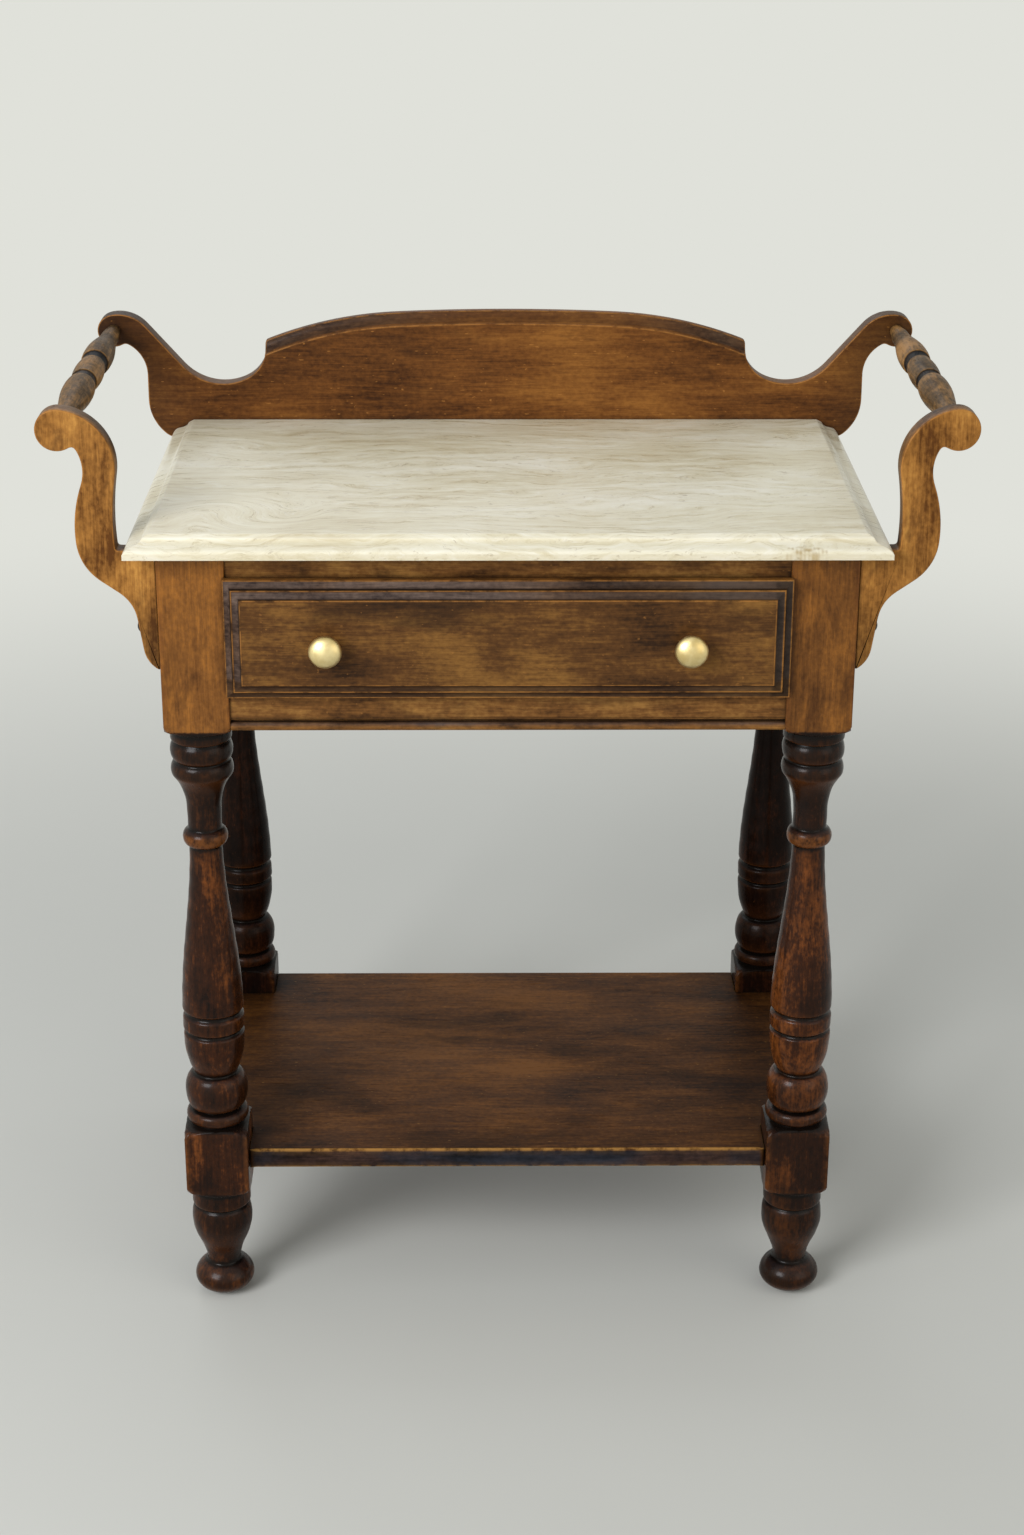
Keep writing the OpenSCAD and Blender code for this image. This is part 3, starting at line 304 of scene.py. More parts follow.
# the first of the turned shades is painted shade below the top block, and the warm tone on what faces down is
# painted light
turnedLook = {
    **plainLook, "dark": "#140905", "mid": "#351a0a", "light": "#7c451c", "smoke": "#0d0705",
    "wearAndHighlightTint": "#7c4a20", "paintedSheen": 0.10, "paintedSheenTint": "#3a4048", "paintedUnderside": 0.35, "rough": 0.22, "coat": 0.10,
    "shine": 0.10, "weights": (0.5, 0.42, 0.30, 0.18, 0.32), "cloud": 0.035, "fleck": 0.1, "wear": 0.3,
    "warm": 0.5, "nookGrimeAndShadeSize": 0.014, "patchSize": 0.05, "shades": ((2, 0.41, 0.56, 0.8), (2, 0.15, 0.09, 0.5))}
leftPost = {"from": 0.5975, "dark": "#4b2a0e", "mid": "#7c4f22", "light": "#a1682a", "smoke": "#331b0c",
            "burn": 0.9}
# the right post is a darker copy of the left: painted shade on the side away from the light
rightPostShaded = {**leftPost, "dark": "#3c210b", "mid": "#6b431c", "light": "#935e26"}
# the back legs are a darker copy of the turned look: painted shade
backLegShadedLook = {
    **turnedLook, "dark": "#070302", "mid": "#160a05", "light": "#34190b", "paintedSheen": 0.05, "coat": 0.03,
    "shine": 0.05, "upper": rightPostShaded}
splashLook = {
    **plainLook, "dark": "#3d220d", "mid": "#6b411b", "light": "#8d5c28", "cloud": 0.09, "fleck": 0.5,
    "stainAndSheenDark": "#2a1e18", "stainAndSheenTint": "#665646", "stain": 0.7, "burn": 0.45, "patchSize": 0.14,
    "smoke": "#2b1a0e", "shades": ((0, 0.28, 0.40, 0.65),)}
# on the drawer front the grey-purple stain tint is a painted sheen in the coves, and what faces down gets
# painted shade
fieldLook = {
    **plainLook, "dark": "#2f1d0e", "mid": "#58391b", "light": "#815a2a", "cloud": 0.08, "figure": 0.02,
    "draw": 6.0, "stainAndSheenTint": "#7b6a60", "stainAndSheenDark": "#2c2322", "paintedUnderside": 0.5, "paintedUndersideTint": "#3a1d10"}
# on the rails the grey stain tint is a painted sheen on the bead's top
railLook = {
    **plainLook, "dark": "#3c2510", "mid": "#704a23", "light": "#9a6f38", "patchSize": 0.06,
    "stainAndSheenTint": "#504a4c", "stainAndSheenDark": "#221c1c"}
# the shelf's shade at its ends is painted shade beside the legs
shelfLook = {
    **plainLook, "dark": "#241308", "mid": "#4d2e13", "light": "#6f461d", "cloud": 0.09, "patchSize": 0.16,
    "stainAndSheenDark": "#0f1012", "stainAndSheenTint": "#2c3039", "stain": 1.0, "wearAndHighlightTint": "#b08244",
    "smoke": "#170e08", "shades": ((0, 0.17, 0.27, 0.45),), "shine": 0.05, "coat": 0.0}
barLook = {
    **plainLook, "dark": "#21160c", "mid": "#5a4429", "light": "#a07643", "stainAndSheenTint": "#1a1f29",
    "stainAndSheenDark": "#0b0d12", "stain": 1.0, "figure": 0.018, "cloud": 0.025, "patchSize": 0.05,
    "wearAndHighlightTint": "#b0824a", "shine": 0.08, "coat": 0.02}
innerLook = {
    **plainLook, "dark": "#8d6c47", "mid": "#b08d63", "light": "#cbab80", "smoke": "#7b5c3b", "burn": 0.25,
    "rough": 0.6, "coat": 0.0, "fleck": 0.1, "nookGrimeAndShade": 0.4, "grimeAndShadeTint": "#4a3522"}


stoneLook = {
    "beds": ((0.36, "#cdbf9b"), (0.45, "#dfd6b6"), (0.54, "#ece6cc"), (0.64, "#f5f1de")),
    "pale": "#f6f3e4", "brown": "#b5a67f", "vein": "#947f5c", "wearHighlightColour": "#efecdd", "shadeAndDirtColour": "#b3a486",
    "flaked": "#b9a57c", "bedSize": 0.010, "veinSize": 0.0036, "streakSize": 0.0030, "cloudSize": 0.10,
    "whirl": (-0.235, -0.125, 0.785), "whirlReach": 0.08, "whirlTurn": 1.7}


def stoneFinish(look):
    # cream marble: fine veins drawn out along X on warped beds, whirled near the front left corner
    stone = Finish(bpy.data.materials.new("cream_marble"))
    wander = stone.noise(stone.placed((0.5, 1, 1)), 0.16, 3.0, 0.55)
    fine = stone.noise(stone.placed((0.6, 1, 1)), 0.045, 3.0, 0.6)
    bent = stone.node("VectorMath", {"operation": "ADD"}, {0: stone.coords, 1: stone.node(
        "CombineXYZ", {}, {1: (wander - 0.5) * 0.12 + (fine - 0.5) * 0.035, 2: (fine - 0.5) * 0.02})})
    aside = stone.node("VectorMath", {"operation": "DISTANCE"}, {0: stone.coords, 1: look["whirl"]}, "Value")
    turned = (1 - stone.step(aside, 0.0, look["whirlReach"])) * look["whirlTurn"]
    bent = stone.node("VectorRotate", {"rotation_type": "Z_AXIS"}, {
        "Vector": bent, "Center": (*look["whirl"][:2], 0), "Angle": turned})
    beds = stone.noise(stone.placed((0.12, 1, 0.6), coords=bent), look["bedSize"], 6.0, 0.74)
    veins = stone.noise(stone.placed((0.20, 1, 0.6), (3, 1, 0), bent), look["veinSize"], 5.0, 0.78)
    clouds = stone.noise(stone.placed((0.45, 1, 1), (7, 0, 2)), look["cloudSize"], 3.0, 0.55)
    streaks = stone.noise(stone.placed((0.09, 1, 0.6), (5, 2, 0), bent), look["streakSize"], 4.0, 0.72)
    colour = stone.shades(beds * 0.6 + clouds * 0.4, *look["beds"])
    thin = (1 - stone.step(veins, 0.34, 0.43)) * stone.step(clouds, 0.36, 0.55)
    for share, tint in ((stone.step(streaks, 0.52, 0.70) * 0.55, "pale"),
                        ((1 - stone.step(streaks, 0.30, 0.42)) * 0.5, "brown"), (thin * 0.5, "vein"),
                        (stone.attribute("wear") * 0.75, "wearHighlightColour"), (stone.attribute("grime") * 0.4, "shadeAndDirtColour"),
                        (stone.attribute("flaked") * stone.step(fine, 0.3, 0.6), "flaked")):
        colour = stone.blend(share, colour, linear(look[tint]))
    bump = stone.node("Bump", {}, {"Strength": 0.25, "Distance": 0.0003,
                                   "Height": veins + stone.attribute("flaked") * fine * 3})
    return stone.close(stone.node("BsdfPrincipled", {}, {
        "Base Color": colour, "Roughness": stone.step(beds, 0.35, 0.65) * 0.14 + 0.26, "Normal": bump,
        "Specular IOR Level": 0.4}))


def metalFinish(name, dark, light, roughness, size):
    metal = Finish(bpy.data.materials.new(name))
    smear = metal.step(metal.noise(metal.coords, size, 4.0, 0.6), 0.3, 0.7)
    spots = metal.noise(metal.coords, size / 9, 2.0, 0.5)
    rough = smear * 0.10 + roughness + metal.step(spots, 0.6, 0.8) * 0.08
    bump = metal.node("Bump", {}, {"Strength": 0.08, "Distance": 0.0002, "Height": spots})
    return metal.close(metal.node("BsdfPrincipled", {}, {
        "Base Color": metal.blend(smear, linear(dark), linear(light)), "Roughness": rough,
        "Metallic": 1.0, "Normal": bump}))


brass = metalFinish("satin_brass", "#dcc282", "#f4e1aa", 0.35, 0.02)
darkSteel = metalFinish("dark_steel", "#15151a", "#2b2c33", 0.42, 0.006)
marble = stoneFinish(stoneLook)
print("stone and metals made")


def sectionLine(node, axis, level):
    # the longest closed line that a plane across an axis cuts from a node, as points in order
    solid = bmesh.new()
    solid.from_mesh(nodes[node].data)
    bmesh.ops.remove_doubles(solid, verts=solid.verts, dist=2e-6)
    plane = Vector([float(k == axis) for k in range(3)])
    cut = bmesh.ops.bisect_plane(solid, geom=[*solid.verts, *solid.edges, *solid.faces], dist=1e-7,
                                 plane_co=plane * level, plane_no=plane, clear_inner=True, clear_outer=True)
    beside, loops = {}, []
    for edge in cut["geom_cut"]:
        if isinstance(edge, bmesh.types.BMEdge):
            first, second = edge.verts
            beside.setdefault(first, []).append(second)
            beside.setdefault(second, []).append(first)
    while beside:
        loop = [next(iter(beside))]
        onward = True
        while onward:
            onward = [v for v in beside.pop(loop[-1]) if v in beside]
            loop += onward[:1]
        loops.append(np.delete(np.array([v.co for v in loop]), axis, axis=1))
    solid.free()
    line = max(loops, key=lambda line: np.sum(np.hypot(*np.diff(line, axis=0).T)))
    line = line[np.hypot(*(np.roll(line, -1, axis=0) - line).T) > 4e-6]
    come, leave = line - np.roll(line, 1, axis=0), np.roll(line, -1, axis=0) - line
    bend = np.abs(come[:, 0] * leave[:, 1] - come[:, 1] * leave[:, 0])
    return line[bend > 2e-3 * np.hypot(*come.T) * np.hypot(*leave.T)]


fineStep = 0.0001


def smoothLine(line, gap, bend, closer=None):
    # a closed line walked anticlockwise, its corners eased by a bell of width bend; columns gap apart,
    # and closer together where closer() says how many times. Gives points, outward directions and
    # how sharply the line turns (1.8 at a square outward corner, -1.8 at a square inward one).
    area = np.sum(line[:, 0] * np.roll(line[:, 1], -1) - np.roll(line[:, 0], -1) * line[:, 1])
    line = line if area > 0 else line[::-1]
    closed = np.vstack([line, line[:1]])
    walked = np.append(0, np.cumsum(np.hypot(*np.diff(closed, axis=0).T)))
    spots = np.linspace(0, walked[-1], int(walked[-1] / fineStep), endpoint=False)
    dense = np.array([soften(np.interp(spots, walked, side), bend / fineStep, "wrap") for side in closed.T]).T
    along = np.roll(dense, -1, axis=0) - np.roll(dense, 1, axis=0)
    outward = np.stack([along[:, 1], -along[:, 0]], axis=1) / np.hypot(*along.T)[:, None]
    turn = np.sum((np.roll(outward, -1, axis=0) - np.roll(outward, 1, axis=0)) * along, axis=1)
    turn *= bend / (0.63 * np.sum(along ** 2, axis=1))
    weight = np.cumsum(closer(dense) if closer else np.ones(len(dense)))
    columns = int(weight[-1] * fineStep / gap)
    pick = np.searchsorted(weight, np.linspace(weight[0], weight[-1], columns, endpoint=False))
    return dense[pick], outward[pick], turn[pick]


arrisShare = 1 - np.sin(np.radians(np.linspace(0, 90, 5)))  # how far in each row of an arris lies
arrisWearAndHighlight = np.array([0, 0.1, 1, 1, 0.7, 0.1])  # wear and painted highlight of the cap's row and of those


def boardRings(points, outward, thick, width, cove=None):
    # rows round a board from its front cap to its back cap: place, depth and wear of every point.
    # The arris is a quarter round of a width that may differ from column to column.
    inset = np.vstack([width + 0.0004, arrisShare[:, None] * width])
    fall = width - np.sqrt(np.maximum(width ** 2 - np.maximum(width - inset, 0) ** 2, 0))
    flat = points[None] - outward[None] * inset[..., None]
    front = (cove(flat) if cove else 0) + fall
    back = thick - fall[::-1]
    share = np.array([0.35, 0.7])[:, None]
    middle = front[-1] * (1 - share) + back[0] * share
    depth = np.concatenate([front, middle, back])
    ring = np.concatenate([flat, np.repeat(points[None], 2, axis=0), flat[::-1]])
    arris = arrisWearAndHighlight[:, None] * np.ones(len(points))
    wear = np.concatenate([arris, np.zeros((2, len(points))), arris[::-1]])
    return ring, depth, wear


def boardShell(name, axis, level, facing, thick, points, outward, width, marks, cove=None, patch=None,
               sharp=50):
    # a board whose outline lies across an axis, with its front at a level; depth runs against facing
    ring, depth, wear = boardRings(points, outward, thick, width, cove)

    def place(flat, deep):
        return np.insert(flat.reshape(-1, 2), axis, level - facing * deep.ravel(), axis=1)
    index = numbered(depth.shape)
    index = np.concatenate([index, index[:, :1]], axis=1)
    solid = place(ring, depth)
    faces = gridFaces(index) + [index[-1, :-1].tolist()]
    values = {"wear": wear, **{key: mark(ring, depth) for key, mark in marks.items()}}
    if patch is None:
        faces.append(index[0, :-1].tolist())
    else:
        # under the arch a finer sheet follows the hollow: its rows are the arch's line moved down
        # along the first and last columns, and the flat front closes what is left
        first, last, side, more = patch
        share = np.linspace(0, 1, last - first + 1)[None, :, None]
        right, left = ring[0][first - np.arange(side)], ring[0][last + np.arange(side)]
        right, left = (right - right[0])[:, None], (left - left[0])[:, None]
        sheet = ring[0][None, first:last + 1] + right * (1 - share) + left * share
        own = numbered(sheet.shape) + len(solid)
        solid = np.vstack([solid, place(sheet, cove(sheet))])
        faces += gridFaces(own)
        rest = np.concatenate([index[0, last + side - 1:-1], index[0, :first - side + 2], own[-1, 1:-1]])
        faces.append(rest.tolist())
        values = {key: np.append(value, more[key](sheet)) for key, value in values.items()}
    return closedMesh(name, solid, faces, values, sharp)


arm = {"columnGap": 0.0009, "ease": 0.0020, "arris": 0.0013, "outerFrom": 0.318,
       "screwDrop": 0.072, "shadeRingRadius": 0.0075, "shadeRingWidth": 0.0018}


def scrolledArm(side, move):
    node = "towel_arm_" + side
    low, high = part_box(node)
    line = sectionLine(node, 1, low.y + 0.001)
    points, outward = smoothLine(line, arm["columnGap"], arm["ease"])[:2]
    middle, screw = (low.y + high.y) / 2 - low.y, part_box("stone_top")[0].z - arm["screwDrop"]

    def screwRing(ring, depth):
        # a dark ring round the screw on the arm's outer edge: painted shade standing for a counterbore that
        # is not modelled
        away = np.hypot(ring[..., 1] - screw, depth - middle)
        return hump(away, arm["shadeRingRadius"], arm["shadeRingWidth"]) * (np.abs(ring[..., 0]) > arm["outerFrom"])

    def edgeTone(ring, depth):
        # the board's thickness is darker than its face
        return ramp(depth, 0.0006, 0.0022) * (0.5 + 0.5 * ramp(depth, 0.002, 0.012))
    piece = boardShell("scrolled_arm_" + side, 1, low.y, -1, high.y - low.y, points, outward,
                       np.full(len(points), arm["arris"]), {"grime": screwRing, "stain": edgeTone})
    finishPiece(piece, "stand", woodFinish("arm_wood_" + side, 2, armLook, move), "arm_wood", node)


scrolledArm("left", (0.2, 1.1, 0.4))
scrolledArm("right", (2.6, 0.3, 1.7))
print("arms made")


splash = {"columnGap": 0.0012, "ease": 0.0020, "arris": 0.0012, "cove": 0.011, "coveArris": 0.0010,
          "reach": 0.0132, "inCove": 0.0125, "goldenAt": 0.03, "greyFrom": 0.05, "greyAt": 0.20,
          "shade": 0.32}


def coveProfile():
    # depth of the hollow against the distance from the arch: a quarter circle, then a rounded arris
    r, rho = splash["cove"], splash["coveArris"]
    middle = ((r + rho) ** 2 - rho ** 2) ** 0.5
    meets = np.arctan2(rho, middle)
    angle = np.linspace(np.pi / 2, meets, 40)
    over = np.linspace(np.pi + meets, 1.5 * np.pi, 16)
    distance = np.concatenate([r * np.cos(angle), middle + rho * np.cos(over)])
    depth = np.concatenate([r * np.sin(angle), rho + rho * np.sin(over)])
    return distance, depth


def covedSplashback():
    low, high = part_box("splashback")
    line = sectionLine("splashback", 1, high.y - 0.001)
    step = np.roll(line, -1, axis=0) - line
    upright = np.nonzero((np.abs(step[:, 0]) < 3e-5) & (np.abs(step[:, 1]) > 0.009))[0]
    archEnd = np.abs(line[upright, 0]).max()  # the arch stands on two short uprights
    archFoot = max(line[upright, 1].max(), line[(upright + 1) % len(line), 1].max())
    arch = line[(np.abs(line[:, 0]) < archEnd + 2e-5) & (line[:, 1] > archFoot - 2e-5)]
    arch = arch[np.unique(np.round(arch[:, 0], 5), return_index=True)[1]]
    slope = np.gradient(arch[:, 1], arch[:, 0])
    profile = coveProfile()

    def below(flat):
        # distance from the arch down its face, and 1 away from it
        x = np.clip(flat[..., 0], -archEnd, archEnd)
        drop = (np.interp(x, *arch.T) - flat[..., 1]) / np.hypot(1, np.interp(x, arch[:, 0], slope))
        return np.where(np.abs(flat[..., 0]) < archEnd + 0.0006, drop, 1.0)

    def coveDepth(flat):
        return np.interp(below(flat), *profile, left=splash["cove"], right=0)

    def closer(dense):
        # more columns down the uprights, most of all at the hollow's lower arris
        near = (np.abs(np.abs(dense[:, 0]) - archEnd) < 0.003) & (dense[:, 1] > archFoot - 0.0145)
        return 1 + near * (3.5 + 7 * hump(below(dense), 0.0112, 0.0011))
    points, outward = smoothLine(line, splash["columnGap"], splash["ease"], closer)[:2]
    shift = -int(np.argmin(points[:, 1] + np.abs(points[:, 0])))  # the seam lies under the middle
    points, outward = np.roll(points, shift, axis=0), np.roll(outward, shift, axis=0)
    inArch = (np.abs(points[:, 0]) < archEnd + 0.001) & (points[:, 1] > archFoot - 0.004)
    reach = np.where(inArch, points[:, 1] + np.abs(points[:, 0]), -1)
    first = int(np.argmax(np.where(points[:, 0] > 0, reach, -1)))
    last = int(np.argmax(np.where(points[:, 0] < 0, reach, -1)))
    atEnd = np.abs(points[:first, 0] - archEnd) < 0.003
    side = int(np.sum(atEnd & (points[:first, 1] > archFoot - splash["reach"])))

    # lighter lines along the hollow's arrises: wear and painted highlight
    def coveWearAndHighlight(flat):
        return 0.9 * hump(below(flat), splash["cove"] + 0.0004, 0.0007) + 0.25 * hump(below(flat), 0, 0.0012)

    def coveStainAndSheen(flat):
        # a painted grey sheen at the ends of the hollow, golden in its middle
        grey = ramp(np.abs(flat[..., 0] - splash["goldenAt"]), splash["greyFrom"], splash["greyAt"])
        return band(below(flat), -0.001, 0.001, 0.009, 0.0105) * (0.1 + 0.9 * grey)

    def coveShade(flat):
        return splash["shade"] * band(below(flat), -0.001, 0.001, 0.009, 0.0108)

    def edgeShade(ring, depth):
        return coveShade(ring) * (depth < splash["inCove"])

    def edgeTone(ring, depth):
        low = ramp(depth, 0.0008, 0.003) * (np.abs(ring[..., 0]) > archEnd)
        return np.maximum(0.6 * low, coveStainAndSheen(ring) * (depth < splash["inCove"]))

    patch = (first, last, side, {"wear": coveWearAndHighlight, "stain": coveStainAndSheen, "grime": coveShade})
    piece = boardShell("coved_splashback", 1, low.y, -1, high.y - low.y, points, outward,
                       np.full(len(points), splash["arris"]), {"stain": edgeTone, "grime": edgeShade},
                       coveDepth, patch, 40)
    finishPiece(piece, "stand", woodFinish("splash_wood", 0, splashLook, (1.3, 0.2, 2.4)), "splash_wood",
                "splashback")


covedSplashback()
print("splashback made")


shelf = {"columnGap": 0.0016, "ease": 0.0012, "arris": 0.0009, "frontArris": 0.0028,
         "frontHalf": 0.2425, "frontFade": 0.004}


def roundedShelf():
    low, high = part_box("shelf")
    line = sectionLine("shelf", 2, high.z - 0.001)
    points, outward = smoothLine(line, shelf["columnGap"], shelf["ease"])[:2]
    inFront = ramp(-points[:, 1], -low.y - shelf["frontFade"], -low.y - 0.001)
    inFront *= 1 - ramp(np.abs(points[:, 0]), shelf["frontHalf"], shelf["frontHalf"] + shelf["frontFade"])
    width = soften(shelf["arris"] + (shelf["frontArris"] - shelf["arris"]) * inFront, 1.5, "wrap")

    def frontStain(ring, depth):
        return ramp(depth, 0.0008, 0.003) * inFront

    # a thin light line along the front's top arris: wear and painted highlight
    def frontWearAndHighlight(ring, depth):
        return 0.7 * band(depth, 0.00005, 0.0002, 0.0004, 0.0009) * inFront
    piece = boardShell("rounded_shelf", 2, high.z, 1, high.z - low.z, points, outward, width,
                       {"stain": frontStain, "warm": frontWearAndHighlight})
    finishPiece(piece, "stand", woodFinish("shelf_wood", 0, shelfLook, (0.7, 1.9, 0.4)), "shelf_wood",
                "shelf")


roundedShelf()

run = {"level": 0.013, "columnGap": 0.0006, "rows": 24, "grooveWidth": 0.0023, "beadDrop": 0.0032,
       "beadWidth": 0.0018}
boards = {
    # node: axis it runs along, width of its arrises, height of the groove over its bead that painted shade
    # darkens
    "top_front_rail": (0, 0.0007, -1),
    "bottom_front_rail": (0, 0.0006, 0.0102),
    "side_apron_left": (1, 0.0008, -1),
    "side_apron_right": (1, 0.0008, -1),
    "back_apron": (0, 0.0008, -1),
}


def runBoard(node, along, ease, quirk, move):
    # a section carried between its shoulders, with the tenons as blocks at its ends
    low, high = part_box(node)
    points, _, turn = smoothLine(sectionLine(node, along, run["level"]), run["columnGap"], ease)
    own, middle = corners(node), (low[along] + high[along]) / 2
    shoulder = np.abs(own[own[:, 2] > high.z - 1e-5, along] - middle).max()
    rows = np.linspace(middle - shoulder, middle + shoulder, run["rows"])
    solid = np.insert(np.tile(points, (len(rows), 1)), along, np.repeat(rows, len(points)), axis=1)
    faces = tubeFaces((len(rows), len(points)))
    corner = np.indices((2, 2, 2)).reshape(3, -1).T
    for end in (-1, 1):
        beyond = own[(own[:, along] - middle) * end > shoulder + 1e-4]
        start, stop = beyond.min(axis=0), beyond.max(axis=0)
        (start if end > 0 else stop)[along] = middle + end * shoulder
        faces += [[len(solid) + k for k in side] for side in
                  ((0, 1, 3, 2), (4, 6, 7, 5), (0, 4, 5, 1), (2, 3, 7, 6), (0, 2, 6, 4), (1, 5, 7, 3))]
        solid = np.vstack([solid, np.where(corner, stop, start)])
    height = points[:, 1] - low.z
    groove = hump(height, quirk, run["grooveWidth"])
    beadTopSheen = hump(height, quirk - run["beadDrop"], run["beadWidth"])
    # lighter arrises (wear and painted highlight), a groove darkened with painted shade, and a painted grey
    # sheen on the bead's top
    marks = {"wear": turn * 1.2 - groove, "grime": groove * 1.5 - turn, "stain": beadTopSheen}
    values = {key: np.append(np.tile(np.clip(value, 0, 1), len(rows)), np.zeros(2 * len(corner)))
              for key, value in marks.items()}
    piece = closedMesh("smooth_" + node, solid, faces, values)
    finishPiece(piece, "stand", woodFinish(node + "_wood", along, railLook, move), "case_wood", node)


for count, (node, settings) in enumerate(boards.items()):
    runBoard(node, *settings, (0.37 * count, 0.91 * count, 0.53 * count))
print("shelf, rails and aprons made")

moulding = {
    "edgeLines": 64, "reach": 0.0185, "linesX": 150, "linesZ": 34, "soft": 1.8, "slack": 0.00005,
    "coves": ((0.0006, 0.0014, 0.0064, 0.0070), (0.0082, 0.0090, 0.0142, 0.0150)),
    "arrises": ((0.0002, 0.0005), (0.0076, 0.0004), (0.0153, 0.0006)),
    "creases": ((1.0, 0.0066), (0.8, 0.0144)), "creaseWidth": 0.0006}


def spacedLines(length, fine, profile, count, reach, middle, bothEnds):
    # lines across a moulded board: by the profile's own length near its edges, even between
    near = evenPlaces(np.hypot(np.gradient(profile), np.gradient(fine)), fine, count)
    far = length - near[::-1] if bothEnds else np.array([length])
    even = np.linspace(reach, length - (reach if bothEnds else 0.004), middle)[1:]
    return np.unique(np.concatenate([near, even[:-1] if bothEnds else even, far]))


def mouldedFront():
    # depth over a grid of x and z: the mitred profile read at the least distance to the four edges
    low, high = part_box("drawer_front")
    own = corners("drawer_front")
    mitre = own[np.abs((own[:, 0] - low.x) - (own[:, 2] - low.z)) < 1e-5]
    inset, depth = mitre[:, 0] - low.x, mitre[:, 1] - low.y
    rim, lipBack = np.sort(depth[inset < 1e-5])[[0, -1]]
    moulded = (inset < moulding["reach"]) & (depth < rim + 1e-5)
    order = np.argsort(inset[moulded])
    fine = np.arange(0, moulding["reach"], fineStep)
    profile = np.interp(fine, inset[moulded][order], depth[moulded][order], right=0)
    profile = soften(profile, moulding["soft"])
    x, z = (spacedLines(high[k] - low[k], fine, profile, moulding["edgeLines"], moulding["reach"],
                        moulding[lines], True) for k, lines in ((0, "linesX"), (2, "linesZ")))
    near = np.minimum(np.minimum(x, x[-1] - x)[None, :], np.minimum(z, z[-1] - z)[:, None])
    y = np.interp(near, fine, profile, right=0)
    grid = np.stack(np.broadcast_arrays(low.x + x[None, :], low.y + y, low.z + z[:, None]), axis=-1)
    # three more lines all round: the lip's back, the plug's foot and its end
    plug = own[own[:, 1] > low.y + lipBack + 0.0005]
    inner, outer = plug.min(axis=0) + moulding["slack"], plug.max(axis=0) - moulding["slack"]
    for level, narrow in ((lipBack, False), (lipBack, True), (high.y - low.y, True)):
        border = np.pad(np.zeros(grid.shape[:2], dtype=bool), 1, constant_values=True)
        grid = np.pad(grid, ((1, 1), (1, 1), (0, 0)), mode="edge")
        around = grid[border]
        if narrow:
            around = np.clip(around, [inner[0], -9, inner[2]], [outer[0], 9, outer[2]])
        around[:, 1] = low.y + level
        grid[border] = around
    near = np.pad(near, 3, constant_values=0.03)
    coves = np.maximum(*(band(near, *places) for places in moulding["coves"]))
    arrises = [hump(near, *place) for place in moulding["arrises"]]
    creases = [deep * hump(near, place, moulding["creaseWidth"]) for deep, place in moulding["creases"]]
    across, up = (grid[..., 0] - low.x) / x[-1], (grid[..., 2] - low.z) / z[-1]
    # painted shade on the coves: darkest at the right end, away from the light, growing darker to the right
    # along the top, and on the lower coves, where less stain and painted sheen is laid
    lower = ramp(up, 0.18, 0.15)
    shaded = np.maximum.reduce([0.85 * ramp(across, 0.955, 0.972), 0.5 * lower,
                                0.65 * ramp(across, 0.35, 0.85) * ramp(up, 0.82, 0.85)])
    # arrises lighter (wear and painted highlight), painted shade in the creases under the coves' steep walls,
    # stain with a painted grey sheen on the coves, and the field paler toward its left
    values = {"wear": np.maximum.reduce(arrises), "grime": np.maximum.reduce([*creases, shaded * coves]),
              "stain": coves * (1 - 0.75 * lower),
              "faded": ramp(near, 0.0155, 0.017) * (1 - ramp(across, 0.10, 0.24))}
    piece = closedMesh("moulded_drawer_front", grid, sheetFaces(grid.shape), values, 45)
    finishPiece(piece, "drawer", woodFinish("drawer_wood", 0, fieldLook, (2.1, 0.4, 1.2)), "front_wood",
                "drawer_front")


mouldedFront()
print("drawer front made")

plainStrips = {
    # node: the axis that its grain runs along
    "drawer_side_left": 1, "drawer_side_right": 1, "drawer_back": 0, "drawer_bottom": 0,
    "drawer_runner_left": 1, "drawer_runner_right": 1, "drawer_guide_left": 1, "drawer_guide_right": 1,
    "drawer_kicker_left": 1, "drawer_kicker_right": 1, "shelf_dowels": 0, "splash_dowels": 2,
    "arm_dowels": 0}


def setFinish(node, material):
    nodes[node].data.materials.clear()
    nodes[node].data.materials.append(material)


for count, (node, along) in enumerate(plainStrips.items()):
    move = (0.61 * count, 0.17 * count, 0.43 * count)
    setFinish(node, woodFinish(node + "_wood", along, innerLook, move))
for node in ("arm_screws", "runner_screws", "knob_screws"):
    setFinish(node, darkSteel)


def rings(node, centre, along):
    # every corner's place along a turned node's axis, and its distance from that axis
    points = corners(node) - centre
    return points[:, along], np.hypot(*np.delete(points, along, axis=1).T)


def widestRings(reach, radius):
    # the places that have corners, and the greatest radius at each
    knots = np.unique(np.round(reach, 5))
    return knots, np.array([radius[np.abs(reach - k) < 6e-6].max() for k in knots])


leg = {"squareRounding": 0.0016, "columnsPerSide": 15, "columnsPerCorner": 4, "rows": 520, "step": 0.00025,
       "softening": 2.2, "wide": 14, "hollow": 0.0010, "crown": 0.0012, "waver": 0.00012, "waves": 310,
       "blockFade": 0.003, "collar": (0.4795, 0.4815, 0.4895, 0.4915)}
legLow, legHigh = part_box("leg_front_right")
legHalf = (legHigh.x - legLow.x) / 2


